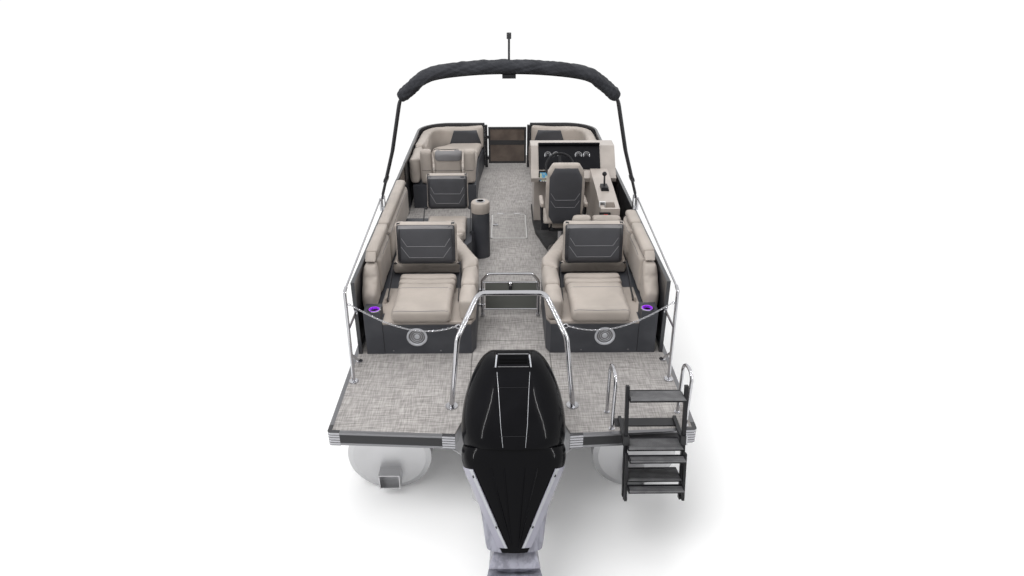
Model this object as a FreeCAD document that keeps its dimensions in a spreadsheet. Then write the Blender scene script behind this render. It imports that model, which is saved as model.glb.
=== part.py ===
"""Pontoon boat: three aluminium tubes under a flat deck, rail fences with gates, lounges with
swing-over backs, a helm, a canvas top folded upright, a boarding ladder and a tilted outboard.

Lengths are in millimetres. x runs to starboard, y to the bow and z up. Every place is counted
from the stern edge of the deck (y) and from the floor under the keels (z); stern_y then moves
the whole boat so that the origin lies on the floor under the middle of its length.
"""
import FreeCAD, Part
import math
import os
import re
import Sketcher

Vector = FreeCAD.Vector
Rotation = FreeCAD.Rotation

# Driving sizes: name, value.
SIZES = [
    # hull and deck
    ("stern_y", -2800), ("beam", 2590), ("deck_len", 6750), ("deck_thick", 22),
    ("bow_corner", 220), ("rail_thick", 30), ("rail_deep", 105), ("stern_sweep", 55),
    ("tube_dia", 635), ("tube_span", 1870), ("tube_aft", 280), ("tube_inset", 1000),
    ("cap_dish", 14), ("nose_len", 900), ("nose_rise", 250), ("keel_high", 12), ("keel_wide", 44),
    ("riser_gap", 13), ("riser_wide", 200), ("plate", 6),
    ("beam_high", 100), ("beam_flange", 38), ("beam_wall", 5), ("beam_pitch", 420),
    ("beam_first", 360), ("beam_end", 200),
    ("well_half", 405), ("well_inner", 330), ("well_deep", 230), ("cap_len", 85),
    ("transom_y", -150), ("transom_drop", 60), ("transom_half", 290), ("transom_thick", 40),
    # fences and gates
    ("fence_high", 660), ("fence_thick", 30), ("fence_lift", 25), ("fence_rail", 36),
    ("fence_skin", 10), ("fence_inset", 50), ("fence_aft", 1010), ("bow_inset", 600),
    ("bow_bend", 420), ("side_gate_y", 3560), ("side_gate_len", 640), ("bow_gate_half", 290),
    ("gate_gap", 12), ("gate_thick", 26), ("post_wide", 40), ("gate_high", 600), ("stern_gate_y", 1630),
    ("stern_gate_half", 250), ("stern_gate_high", 430),
    # seats
    ("base_high", 300), ("cushion_high", 130), ("seat_inset", 105), ("seat_aft", 1010),
    ("seat_split", 1850), ("seat_end", 2420), ("aisle_half", 290), ("pad_in", 465),
    ("pad_inset", 205), ("swing_lift", 20), ("swing_reach", 410), ("swing_rise", 150),
    ("back_high", 405), ("back_thick", 105), ("arm_thick", 8), ("arm_wide", 34), ("pin_dia", 12),
    ("pin_fit", 0.1), ("coaming_thick", 118), ("coaming_top", 750), ("mid_end", 3300),
    ("pod_wide", 134), ("pod_len", 150), ("pod_high", 90), ("cup_dia", 84),
    ("mid_in", 400), ("bow_seat_y", 4420), ("bow_seat_in", 400), ("bow_back_top", 645),
    # helm
    ("helm_x", 562), ("helm_y", 3000), ("step_high", 50), ("wheel_dia", 330), ("console_in", 250),
    ("side_pod_in", 897),
    # floor hatch
    ("hatch_gap", 4), ("hatch_hinge_up", 5.5),
    # chrome work
    ("tow_dia", 38), ("tow_foot", 445), ("tow_y", 290), ("tow_top", 800), ("rail_dia", 25.4),
    ("chain_dia", 9), ("chain_post", 677),
    ("post_y", 615), ("post_top", 790),
    # canvas top
    ("top_y", 2630), ("top_foot", 785), ("top_rise", 2045), ("hoop_dia", 28),
    ("hoop_pitch", 44), ("boot_dia", 104), ("mast_high", 230),
    # ladder
    ("ladder_in", 753), ("ladder_out", 1170), ("ladder_off", 155), ("ladder_lean", 14), ("ladder_low", 380),
    ("ladder_high", 430), ("stile_wide", 24), ("stile_deep", 32), ("tread_deep", 160), ("fold_len", 350),
    ("grab_high", 440), ("grab_bend", 72),
    # outboard
    ("rest_tilt", 32), ("pivot_up", 55), ("swivel_back", 190), ("shaft_low", 900), ("prop_dia", 368),
    ("prop_pitch", 430), ("cowl_half", 325), ("scoop_half", 85), ("scoop_low", 556), ("scoop_high", 50),
]

# Places that follow from the driving sizes: name, expression.
FOLLOWING = {
    "tube_end": "(deck_len - tube_inset)",
    "beam_count": "(floor((deck_len - beam_first - beam_end) / beam_pitch) + 1)",
    "bow_y": "(deck_len - bow_inset)",
    "seat_out": "(beam / 2 - seat_inset)",
    "pad_out": "(beam / 2 - seat_inset - pad_inset)",
    "top_half": "(beam / 2 - fence_inset)",
}

DECK = "(keel_high + tube_dia + riser_gap + beam_high + deck_thick)"
TUBE_Z = "(keel_high + tube_dia / 2)"
BEAM_Z = "(keel_high + tube_dia + riser_gap)"
SIDES = (("port", -1), ("starboard", 1))
HATCH = ("-210", "3420", "220", "4190")  # the hole in the deck: x0, y0, x1, y1

doc = FreeCAD.newDocument("PontoonBoat")
sheet = doc.addObject("Spreadsheet::Sheet", "Sizes")
for row, (name, number) in enumerate(SIZES, start=1):
    sheet.set(f"A{row}", name)
    sheet.set(f"B{row}", str(number))
    sheet.setAlias(f"B{row}", name)
doc.recompute()
ALIASES = {name for name, _ in SIZES}
NODES = []


def bound(expression):
    """The expression with each size's name pointing at its cell in the sheet."""
    words = r"[A-Za-z_]\w*"
    full = re.sub(words, lambda word: FOLLOWING.get(word[0], word[0]), str(expression))
    return re.sub(words, lambda word: "Sizes." + word[0] if word[0] in ALIASES else word[0], full)


def value(expression):
    """The number that an expression of sizes has now."""
    return float(sheet.evalExpression(bound(expression)))


def vector(x, y, z):
    """A point of the boat from three expressions, in the boat's own frame."""
    return Vector(value(x), value(y) + value("stern_y"), value(z))


# ---------------------------------------------------------------- modelling helpers

def new_body(label):
    """An empty body whose origin lies at the deck's stern edge, on the floor."""
    body = doc.addObject("PartDesign::Body", "Body")
    body.Label = label
    body.setExpression("Placement.Base.y", "Sizes.stern_y")
    return body


def node(thing):
    """Registers a finished piece, which is written under its label."""
    NODES.append(thing)
    return thing


def new_sketch(body, axis, at):
    """A sketch across an axis; its own x and y run along the two other axes."""
    role, sign = {"z": ("XY_Plane", 1), "y": ("XZ_Plane", -1), "x": ("YZ_Plane", 1)}[axis]
    sketch = body.newObject("Sketcher::SketchObject", "Sketch")
    plane = next(f for f in body.Origin.OriginFeatures if f.Role == role)
    sketch.AttachmentSupport = [(plane, "")]
    sketch.MapMode = "FlatFace"
    sketch.setExpression("AttachmentOffset.Base.z", bound(f"{sign} * ({at})"))
    return sketch


def fix(sketch, kind, geometry, end, expression):
    """Ties one coordinate of a sketch point to an expression."""
    number = value(expression)
    index = sketch.addConstraint(Sketcher.Constraint(kind, -1, 1, geometry, end, number))
    sketch.setExpression(f"Constraints[{index}]", bound(expression))


def add_wire(sketch, wire):
    """Adds a closed outline: ("circle", x, y, radius), or a list of corners, where an
    ("arc", x, y, radius) between two corners joins them round that centre."""
    if wire[0] == "circle":
        _, x, y, radius = wire
        circle = Part.Circle(Vector(value(x), value(y), 0), Vector(0, 0, 1), value(radius))
        index = sketch.addGeometry(circle, False)
        fix(sketch, "DistanceX", index, 3, x)
        fix(sketch, "DistanceY", index, 3, y)
        tie = sketch.addConstraint(Sketcher.Constraint("Radius", index, value(radius)))
        sketch.setExpression(f"Constraints[{tie}]", bound(radius))
        return
    corners = [item for item in wire if item[0] != "arc"]
    points = [Vector(value(x), value(y), 0) for x, y in corners]
    arcs = arcs_by_corner(wire)
    ends = []
    for i, start in enumerate(points):
        stop = points[(i + 1) % len(points)]
        if i not in arcs:
            index = sketch.addGeometry(Part.LineSegment(start, stop), False)
            ends.append((index, 1, 2))
            continue
        _, x, y, radius = arcs[i]
        centre = Vector(value(x), value(y), 0)
        from_angle = math.atan2(start.y - centre.y, start.x - centre.x)
        to_angle = math.atan2(stop.y - centre.y, stop.x - centre.x)
        turn = (to_angle - from_angle) % (2 * math.pi)
        forward = turn < math.pi
        low, high = (from_angle, to_angle) if forward else (to_angle, from_angle)
        circle = Part.Circle(centre, Vector(0, 0, 1), value(radius))
        index = sketch.addGeometry(Part.ArcOfCircle(circle, low, high), False)
        tie = sketch.addConstraint(Sketcher.Constraint("Radius", index, value(radius)))
        sketch.setExpression(f"Constraints[{tie}]", bound(radius))
        ends.append((index, 1, 2) if forward else (index, 2, 1))
    for i, (index, _, last) in enumerate(ends):
        after, first, _ = ends[(i + 1) % len(ends)]
        sketch.addConstraint(Sketcher.Constraint("Coincident", index, last, after, first))
    for (index, first, _), (x, y) in zip(ends, corners):
        fix(sketch, "DistanceX", index, first, x)
        fix(sketch, "DistanceY", index, first, y)


def arcs_by_corner(wire):
    """The arcs of an outline, each under the number of the corner that it starts from."""
    found, corner = {}, -1
    for item in wire:
        if item[0] == "arc":
            found[corner] = item
        else:
            corner += 1
    return found


def slab(body, axis, low, high, *wires):
    """A pad between two places along an axis."""
    sketch = new_sketch(body, axis, high if axis == "y" else low)
    for wire in wires:
        add_wire(sketch, wire)
    pad = body.newObject("PartDesign::Pad", "Pad")
    pad.Profile = sketch
    pad.setExpression("Length", bound(f"({high}) - ({low})"))
    doc.recompute()
    return pad


def carve(body, axis, low, high, *wires):
    """A pocket between two places along an axis; it has to take something away."""
    before = body.Shape.Volume
    sketch = new_sketch(body, axis, low if axis == "y" else high)
    for wire in wires:
        add_wire(sketch, wire)
    pocket = body.newObject("PartDesign::Pocket", "Pocket")
    pocket.Profile = sketch
    pocket.setExpression("Length", bound(f"({high}) - ({low})"))
    doc.recompute()
    if body.Shape.Volume > before - 1:
        raise RuntimeError(f"the pocket in {body.Label} cuts nothing")
    return pocket


def loft(body, axis, sections, ruled=False):
    """A loft through outlines, each given with its place along the axis."""
    sketches = []
    for at, wire in sections:
        sketch = new_sketch(body, axis, at)
        add_wire(sketch, wire)
        sketches.append(sketch)
    skin = body.newObject("PartDesign::AdditiveLoft", "Loft")
    skin.Profile = sketches[0]
    skin.Sections = sketches[1:]
    skin.Ruled = ruled
    doc.recompute()
    return skin


def rect(x0, y0, x1, y1):
    """A rectangle's corners."""
    return [(x0, y0), (x1, y0), (x1, y1), (x0, y1)]


def soften(body, radius, chosen):
    """A fillet on the edges that a test picks from the body's shape."""
    base = body.Tip
    names = [f"Edge{i}" for i, edge in enumerate(base.Shape.Edges, start=1) if chosen(edge)]
    fillet = body.newObject("PartDesign::Fillet", "Fillet")
    fillet.Base = (base, names)
    fillet.setExpression("Radius", bound(radius))
    doc.recompute()
    return fillet


def upright(edge):
    """True for a straight vertical edge."""
    a, b = edge.Vertexes[0].Point, edge.Vertexes[-1].Point
    return abs(a.x - b.x) < 0.01 and abs(a.y - b.y) < 0.01 and abs(a.z - b.z) > 0.01


def repeat(body, feature, axis, span, count):
    """Repeats a feature in a row along one of the body's axes."""
    pattern = body.newObject("PartDesign::LinearPattern", "Row")
    pattern.Originals = [feature]
    role = {"x": "X_Axis", "y": "Y_Axis", "z": "Z_Axis"}[axis]
    pattern.Direction = (next(f for f in body.Origin.OriginFeatures if f.Role == role), [""])
    pattern.setExpression("Length", bound(span))
    pattern.setExpression("Occurrences", bound(count))
    body.Tip = pattern
    doc.recompute()
    return pattern


def gather(label, pieces):
    """One node out of pieces that do not touch."""
    group = doc.addObject("Part::Compound", "Group")
    group.Label = label
    group.Links = pieces
    return node(group)


def weld(label, pieces):
    """One solid out of pieces that overlap or meet."""
    fuse = doc.addObject("Part::MultiFuse", "Weld")
    fuse.Label = label
    fuse.Shapes = pieces
    return fuse


def made(label, shape):
    """A piece whose shape is built here; its sizes come from the sheet through value()."""
    piece = doc.addObject("Part::Feature", "Made")
    piece.Label = label
    piece.Shape = shape
    return piece


def bent_tube(points, diameter, bend):
    """A round tube along straight runs that are joined by arcs of one bend radius."""
    edges = []
    start = points[0]
    for before, corner, after in zip(points, points[1:], points[2:]):
        back = (before - corner).normalize()
        ahead = (after - corner).normalize()
        half = back.getAngle(ahead) / 2
        reach = bend / math.tan(half)
        first, last = corner + back * reach, corner + ahead * reach
        middle = (back + ahead).normalize()
        centre = corner + middle * (bend / math.sin(half))
        edges.append(Part.LineSegment(start, first).toShape())
        edges.append(Part.Arc(first, centre - middle * bend, last).toShape())
        start = last
    edges.append(Part.LineSegment(start, points[-1]).toShape())
    path = Part.Wire(edges)
    ring = Part.Wire([Part.makeCircle(diameter / 2, points[0], points[1] - points[0])])
    return path.makePipeShell([ring], True, False)


def rod(a, b, diameter):
    """A straight round bar between two points."""
    return Part.makeCylinder(diameter / 2, (b - a).Length, a, b - a)


def shape_of(body):
    """A body's finished shape, for a piece that is cut to fit it."""
    doc.recompute()
    return body.Shape


def mirrored(shape):
    """The same shape on the other side of the boat."""
    return shape.mirror(Vector(0, 0, 0), Vector(1, 0, 0))


# ---------------------------------------------------------------- hull

def pontoon(label, x, aft):
    """A tube with a dished aft cap, an upswept nose, a keel, risers and a stern bracket."""
    body = new_body(label)
    # the nose keeps its top nearly level and sweeps up underneath
    steps = [i / 6 for i in range(7)]
    nose = [(f"tube_end + {s} * nose_len",
             ("circle", x, f"{TUBE_Z} + nose_rise * {s} ^ 2",
              f"tube_dia / 2 * (1 - 0.84 * {s} ^ 2)")) for s in steps]
    loft(body, "y", nose, ruled=True)
    slab(body, "y", aft, "tube_end", ("circle", x, TUBE_Z, "tube_dia / 2"))
    loft(body, "y", [(aft, ("circle", x, TUBE_Z, "tube_dia / 2")),
                     (f"{aft} - cap_dish", ("circle", x, TUBE_Z, "tube_dia / 2 - 3 * cap_dish"))])
    slab(body, "y", f"{aft} + 30", "tube_end",
         rect(f"{x} - keel_wide / 2", "0", f"{x} + keel_wide / 2", "keel_high + 8"))
    wide, top = "riser_wide / 2", BEAM_Z
    slab(body, "y", f"{aft} + 60", "tube_end - 100",
         [(f"{x} - {wide}", f"{TUBE_Z} + 0.4 * tube_dia"), (f"{x} - {wide}", top),
          (f"{x} + {wide}", top), (f"{x} + {wide}", f"{TUBE_Z} + 0.4 * tube_dia"),
          (f"{x} + {wide} - plate", f"{TUBE_Z} + 0.4 * tube_dia"),
          (f"{x} + {wide} - plate", f"{top} - plate"), (f"{x} - {wide} + plate", f"{top} - plate"),
          (f"{x} - {wide} + plate", f"{TUBE_Z} + 0.4 * tube_dia")])
    return body


def hull():
    """The three tubes; the outer two carry a box bracket under their aft caps."""
    for name, side in SIDES:
        x = f"({side} * tube_span / 2)"
        body = pontoon(f"pontoon_{name}", x, "tube_aft")
        slab(body, "y", "tube_aft - 110", "tube_aft + 60",
             rect(f"{x} - 80", f"{TUBE_Z} - 0.36 * tube_dia", f"{x} + 80",
                  f"{TUBE_Z} - 0.16 * tube_dia"))
        carve(body, "y", "tube_aft - 110", "tube_aft - 20",
              rect(f"{x} - 72", f"{TUBE_Z} - 0.36 * tube_dia + 8", f"{x} + 72",
                   f"{TUBE_Z} - 0.16 * tube_dia - 8"))
        node(body)
    node(pontoon("pontoon_centre", "0", "tube_aft + 420"))


def crossmembers():
    """A row of channel beams on the risers, and two short ones beside the motor well."""
    half = "(beam / 2 - rail_thick)"
    body = new_body("crossmembers")

    def channel(y):
        return [(f"{y}", BEAM_Z), (f"{y} + beam_flange", BEAM_Z),
                (f"{y} + beam_flange", f"{BEAM_Z} + beam_wall"),
                (f"{y} + beam_wall", f"{BEAM_Z} + beam_wall"),
                (f"{y} + beam_wall", f"{BEAM_Z} + beam_high - beam_wall"),
                (f"{y} + beam_flange", f"{BEAM_Z} + beam_high - beam_wall"),
                (f"{y} + beam_flange", f"{BEAM_Z} + beam_high"), (f"{y}", f"{BEAM_Z} + beam_high")]

    first = slab(body, "x", f"-{half}", half, channel("beam_first"))
    repeat(body, first, "y", "beam_pitch * (beam_count - 1)", "beam_count")
    slab(body, "x", f"-{half}", "-well_half - 20", channel("50"))
    slab(body, "x", "well_half + 20", half, channel("50"))
    for side in (-1, 1):
        inner, outer = ("well_half + 20", "well_half + 26")
        low, high = (inner, outer) if side > 0 else (f"-({outer})", f"-({inner})")
        slab(body, "x", low, high, rect("50", BEAM_Z, "beam_first + 10", f"{BEAM_Z} + beam_high"))
        slab(body, "x", f"{side} * tube_span / 2 - 3", f"{side} * tube_span / 2 + 3",
             rect("50", BEAM_Z, "beam_first + 10", f"{BEAM_Z} + beam_high"))
    node(body)


def deck():
    """The decking, with its swept stern and the notch that the outboard tilts into."""
    half = "beam / 2 - rail_thick"
    body = new_body("deck")
    slab(body, "z", f"{DECK} - deck_thick", DECK,
         [(f"-({half})", "rail_thick"), ("-well_half", "rail_thick - stern_sweep"),
          ("-well_inner", "well_deep"), ("well_inner", "well_deep"),
          ("well_half", "rail_thick - stern_sweep"), (half, "rail_thick"),
          (half, "deck_len - rail_thick"), (f"-({half})", "deck_len - rail_thick")])
    soften(body, "bow_corner - rail_thick",
           lambda e: upright(e) and e.Vertexes[0].Point.y > value("deck_len - rail_thick") - 1)
    carve(body, "z", f"{DECK} - deck_thick", DECK, rect(*HATCH))
    x0, y0, x1, _ = HATCH
    slab(body, "z", f"{DECK} - deck_thick - plate", f"{DECK} - deck_thick",
         rect(f"{x0} - 20", f"{y0} - 30", f"{x1} + 20", f"{y0} + 16"))
    node(body)


def rub_rails():
    """The edge extrusions round the deck, one piece to each side."""
    low, high = f"{DECK} - rail_deep", f"{DECK} + 2"
    half, lip = "beam / 2", "beam / 2 - rail_thick"
    pieces = []
    for name, side in SIDES:
        body = new_body(f"rub_rail_{name}")
        x0, x1 = (f"-({half})", f"-({lip})") if side < 0 else (lip, half)
        slab(body, "x", x0, x1, rect("cap_len", low, "deck_len - 600", high))
        carve(body, "x", x0 if side < 0 else f"{half} - 6", f"-({half}) + 6" if side < 0 else half,
              rect("cap_len", f"{low} + 30", "deck_len - 600", f"{high} - 30"))
        pieces.append(body)
        stern = new_body(f"stern_rail_{name}")
        far, near = f"{side} * ({half} - cap_len)", f"{side} * (well_half + cap_len)"
        share = "stern_sweep / (beam / 2 - well_half) * cap_len"
        slab(stern, "z", low, high,
             [(far, f"-{share}"), (near, f"-stern_sweep + {share}"),
              (near, f"rail_thick - stern_sweep + {share}"), (far, f"rail_thick - {share}")])
        pieces.append(stern)
    bow = new_body("bow_rail")
    slab(bow, "z", low, high,
         [(f"-({half})", "deck_len - 600"), (f"-({half})", "deck_len"), (half, "deck_len"),
          (half, "deck_len - 600"), (lip, "deck_len - 600"), (lip, "deck_len - rail_thick"),
          (f"-({lip})", "deck_len - rail_thick"), (f"-({lip})", "deck_len - 600")])
    soften(bow, "bow_corner", lambda e: upright(e)
           and abs(e.Vertexes[0].Point.y - value("deck_len")) < 1)
    soften(bow, "bow_corner - rail_thick", lambda e: upright(e)
           and abs(e.Vertexes[0].Point.y - value("deck_len - rail_thick")) < 1
           and abs(abs(e.Vertexes[0].Point.x) - value(lip)) < 1)
    pieces.append(bow)
    gather("rub_rails", pieces)


def corner_caps():
    """Cast caps over the four stern corners of the rub rail, ribbed along their height."""
    low, high = f"{DECK} - rail_deep - 4", f"{DECK} + 4"
    pieces = []
    share = "stern_sweep / (beam / 2 - well_half) * cap_len"
    for name, side in SIDES:
        outer = new_body(f"outer_cap_{name}")
        edge = f"{side} * (beam / 2)"
        slab(outer, "z", low, high,
             [(edge, "0"), (f"{side} * (beam / 2 - cap_len)", f"-{share}"),
              (f"{side} * (beam / 2 - cap_len)", f"rail_thick - {share}"),
              (f"{side} * (beam / 2 - rail_thick)", "rail_thick"),
              (f"{side} * (beam / 2 - rail_thick)", "cap_len"), (edge, "cap_len")])
        soften(outer, "26", lambda e: upright(e)
               and abs(e.Vertexes[0].Point.y) < 1 and abs(e.Vertexes[0].Point.x) > value("beam / 2") - 1)
        pieces.append(outer)
        inner = new_body(f"inner_cap_{name}")
        slab(inner, "z", low, high,
             [(f"{side} * (well_half + cap_len)", f"-stern_sweep + {share}"),
              (f"{side} * (well_half - 6)", "-stern_sweep - 2"),
              (f"{side} * (well_half - 6)", "rail_thick - stern_sweep"),
              (f"{side} * well_half", "rail_thick - stern_sweep"),
              (f"{side} * (well_half + cap_len)", f"rail_thick - stern_sweep + {share}")])
        pieces.append(inner)
    gather("corner_caps", pieces)


def motor_well():
    """The splash pan under the deck's notch, its sides, the pod below and the transom plate."""
    low = f"{BEAM_Z} - plate"
    body = new_body("motor_well")
    slab(body, "z", low, BEAM_Z,
         [("-transom_half", "transom_y"), ("transom_half", "transom_y"),
          ("well_half + 12", "-40"), ("well_inner + 12", "well_deep + 12"),
          ("-well_inner - 12", "well_deep + 12"), ("-well_half - 12", "-40")])
    wall = "5"
    slab(body, "z", BEAM_Z, f"{DECK} - deck_thick - 1",
         [("-well_half - 2", "-12"), ("-well_inner - 2", "well_deep + 2"),
          ("well_inner + 2", "well_deep + 2"), ("well_half + 2", "-12"),
          (f"well_half + 2 + {wall}", "-12"), (f"well_inner + 2 + {wall}", f"well_deep + 2 + {wall}"),
          (f"-well_inner - 2 - {wall}", f"well_deep + 2 + {wall}"), (f"-well_half - 2 - {wall}", "-12")])
    half = "transom_half"
    vee = [(f"-{half}", low), (f"-{half}", f"{TUBE_Z} - 20"), ("-90", "keel_high + 70"),
           ("90", "keel_high + 70"), (half, f"{TUBE_Z} - 20"), (half, low)]
    slab(body, "y", "transom_y + transom_thick", "tube_aft + 420 - cap_dish", vee)
    top = f"{DECK} - transom_drop"
    slab(body, "y", "transom_y", "transom_y + transom_thick",
         [(f"-{half}", top), *vee[1:5], (half, top)])
    soften(body, "40", lambda e: abs(e.Vertexes[0].Point.z - value(top)) < 1
           and abs(e.Vertexes[-1].Point.z - value(top)) < 1
           and abs(abs(e.Vertexes[0].Point.x) - value(half)) < 1
           and abs(e.Vertexes[0].Point.x - e.Vertexes[-1].Point.x) < 1)
    node(body)


# ---------------------------------------------------------------- fences and gates

FENCE_TOP = f"({DECK} + fence_high)"
FENCE_FOOT = f"({DECK} + fence_lift)"


def fence(label, side, plan, posts):
    """A rail fence: top and bottom rails, a thin skin between them, uprights and feet.

    plan(t) gives the outline of a wall t thick each way about the fence's middle line.
    """
    body = new_body(label)
    slab(body, "z", FENCE_FOOT, f"{FENCE_FOOT} + fence_rail", plan("fence_thick / 2"))
    slab(body, "z", f"{FENCE_FOOT} + fence_rail", f"{FENCE_TOP} - fence_rail", plan("fence_skin / 2"))
    slab(body, "z", f"{FENCE_TOP} - fence_rail", FENCE_TOP, plan("fence_thick / 2"))
    middle = f"{side} * (beam / 2 - fence_inset)"
    for y in posts:
        slab(body, "z", DECK, f"{FENCE_TOP} - 2",
             rect(f"{middle} - 15", f"{y} - 16", f"{middle} + 15", f"{y} + 16"))
    return node(body)


def straight_fence(label, side, y0, y1, bays):
    """A fence along one side of the deck."""
    middle = f"{side} * (beam / 2 - fence_inset)"

    def plan(half):
        return rect(f"{middle} - {half}", y0, f"{middle} + {half}", y1)

    posts = [f"{y0} + 16 + (({y1}) - ({y0}) - 32) * {i} / {bays}" for i in range(bays + 1)]
    return fence(label, side, plan, posts)


def bow_fence(label, side, y0, bays):
    """A fence that runs forward, bends round the bow corner and ends at the gate's post."""
    middle = "(beam / 2 - fence_inset)"
    inner = "(bow_gate_half + post_wide)"
    centre = (f"{side} * ({middle} - bow_bend)", "bow_y - bow_bend")

    def plan(half):
        return [(f"{side} * ({middle} + {half})", y0), (f"{side} * ({middle} + {half})", centre[1]),
                ("arc", *centre, f"bow_bend + {half}"), (centre[0], f"bow_y + {half}"),
                (f"{side} * {inner}", f"bow_y + {half}"), (f"{side} * {inner}", f"bow_y - {half}"),
                (centre[0], f"bow_y - {half}"), ("arc", *centre, f"bow_bend - {half}"),
                (f"{side} * ({middle} - {half})", centre[1]), (f"{side} * ({middle} - {half})", y0)]

    posts = [f"{y0} + 16 + (bow_y - bow_bend - ({y0}) - 32) * {i} / {bays}" for i in range(bays + 1)]
    return fence(label, side, plan, posts)


HINGES = ("140", "450")
HINGE_BACK = "31"


def hinge_plan(gate, u, v):
    """A point given from a gate's hinge axis: u along the gate, v across it towards the fence."""
    if gate == "bow":
        return f"-bow_gate_half + 10 + ({u})", f"bow_y - {HINGE_BACK} + ({v})"
    return f"-(beam / 2 - fence_inset) + {HINGE_BACK} - ({v})", f"side_gate_y + 10 + ({u})"


def hinge_lugs(body, gate, thick, layers):
    """Lugs from a gate or from its post; layers give each lug's low and high above the hinge."""
    u0, u1, reach, girth = thick
    for z in HINGES:
        for low, high in layers:
            corners = [hinge_plan(gate, u, v) for u, v in rect(u0, "-4", u1, reach)]
            slab(body, "z", f"{DECK} + {z} + {low}", f"{DECK} + {z} + {high}", corners)
            if girth:
                slab(body, "z", f"{DECK} + {z} + {low}", f"{DECK} + {z} + {high}",
                     ("circle", *hinge_plan(gate, "0", "0"), girth))


def post_hinges(body, gate, reach):
    """The fixed lugs of a gate, with the pins between them."""
    hinge_lugs(body, gate, ("-32", "0", reach, "8"), (("-14.5", "-0.5"), ("14.5", "28.5")))
    for z in HINGES:
        slab(body, "z", f"{DECK} + {z} - 0.5", f"{DECK} + {z} + 14.5",
             ("circle", *hinge_plan(gate, "0", "0"), "5"))


def gate_posts():
    """The square posts that the bow gate hangs on and shuts against."""
    body = new_body("bow_gate_posts")
    for side in (-1, 1):
        a, b = f"{side} * bow_gate_half", f"{side} * (bow_gate_half + post_wide - 1)"
        slab(body, "z", DECK, f"{FENCE_TOP} - 30", rect(a, "bow_y - 20", b, "bow_y + 20"))
    post_hinges(body, "bow", "11")
    node(body)


def panel_gate(label, gate, across, a0, a1, middle, high):
    """A framed gate with two infill panels, a band between them and the lugs of its hinges."""
    body = new_body(label)
    low = f"{DECK} + 60"
    slab(body, across, f"{middle} - gate_thick / 2", f"{middle} + gate_thick / 2",
         rect(a0, low, a1, high))
    bands = ((f"{low} + 30", f"{low} + 0.52 * (({high}) - ({low}))"),
             (f"{low} + 0.64 * (({high}) - ({low}))", f"{high} - 30"))
    for z0, z1 in bands:
        for near, far in ((f"{middle} - gate_thick / 2", f"{middle} - 3"),
                          (f"{middle} + 3", f"{middle} + gate_thick / 2")):
            carve(body, across, near, far, rect(f"{a0} + 28", z0, f"{a1} - 28", z1))
    hinge_lugs(body, gate, ("-4", "26", f"{HINGE_BACK} - gate_thick / 2", "9"), (("0", "14"),))
    for z in HINGES:
        carve(body, "z", f"{DECK} + {z}", f"{DECK} + {z} + 14",
              ("circle", *hinge_plan(gate, "0", "0"), "5 + pin_fit"))
    return node(body)


def fences():
    aft = straight_fence("fence_port_aft", -1, "fence_aft", "side_gate_y", 3)
    post_hinges(aft, "side", f"{HINGE_BACK} - fence_thick / 2")
    bow_fence("fence_port_bow", -1, "side_gate_y + side_gate_len", 2)
    straight_fence("fence_starboard_aft", 1, "fence_aft", "side_gate_y", 3)
    bow_fence("fence_starboard_bow", 1, "side_gate_y + 1", 3)
    gate_posts()
    top = f"{DECK} + gate_high"
    panel_gate("bow_gate", "bow", "y", "-bow_gate_half + gate_gap", "bow_gate_half - gate_gap",
               "bow_y", top)
    panel_gate("side_gate", "side", "x", "side_gate_y + gate_gap",
               "side_gate_y + side_gate_len - gate_gap", "(-(beam / 2 - fence_inset))", FENCE_TOP)


def stern_gate():
    """A low chrome gate between the stern lounges: hoop, cross bars, infill and two feet."""
    y = "stern_gate_y"
    half, top = "stern_gate_half", f"{DECK} + stern_gate_high"
    tube = value("rail_dia")
    hoop = bent_tube([vector(f"-{half}", y, f"{DECK} + 22"), vector(f"-{half}", y, f"{top} - 70"),
                      vector(f"-{half} + 55", y, top), vector(f"{half} - 55", y, top),
                      vector(half, y, f"{top} - 70"), vector(half, y, f"{DECK} + 22")], tube, 38)
    bars = [rod(vector(f"-{half}", y, f"{DECK} + {z}"), vector(half, y, f"{DECK} + {z}"), 0.7 * tube)
            for z in (75, 225, 345)]
    corner = vector(f"-{half} + 28", f"{y} - 4", f"{DECK} + 75")
    panel = Part.makeBox(2 * value(half) - 36, 8, 270, corner)
    feet = [Part.makeCylinder(17, 24, vector(f"{s} * {half}", y, f"{DECK} + 6")) for s in (-1, 1)]
    node(made("stern_gate", hoop.fuse(bars + [panel] + feet).removeSplitter()))
    lugs = []
    for z in (110, 262):
        lug = Part.makeBox(30, 22, 16, vector(f"-{half} - 40", f"{y} - 11", f"{DECK} + {z}"))
        eye = Part.makeCylinder(21, 16, vector(f"-{half}", y, f"{DECK} + {z}"))
        hole = Part.makeCylinder(tube / 2 + 0.3, 16, vector(f"-{half}", y, f"{DECK} + {z}"))
        lugs.append(lug.fuse(eye).cut(hole))
    node(made("stern_gate_hinges", Part.makeCompound(lugs)))


# ---------------------------------------------------------------- seats

SEAT = f"({DECK} + base_high)"
CUSHION = f"({SEAT} + cushion_high)"
SWING_Z = f"({SEAT} + 20)"


def span(side, inner, outer):
    """Two places across the boat on one side, lower first."""
    return (inner, outer) if side > 0 else (f"-({outer})", f"-({inner})")


def on_side(side, corners):
    """An outline given for starboard, moved to either side."""
    return [item if item[0] == "arc" and side > 0 else
            ("arc", f"-({item[1]})", *item[2:]) if item[0] == "arc" else
            (f"{side} * ({item[0]})", item[1]) for item in corners]


def soft_block(label, side, x0, x1, y0, y1, z0, z1, radius):
    """A plain cushion with rounded edges."""
    body = new_body(label)
    low, high = span(side, x0, x1)
    slab(body, "x", low, high, rect(y0, z0, y1, z1))
    soften(body, radius, lambda e: True)
    return body


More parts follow.
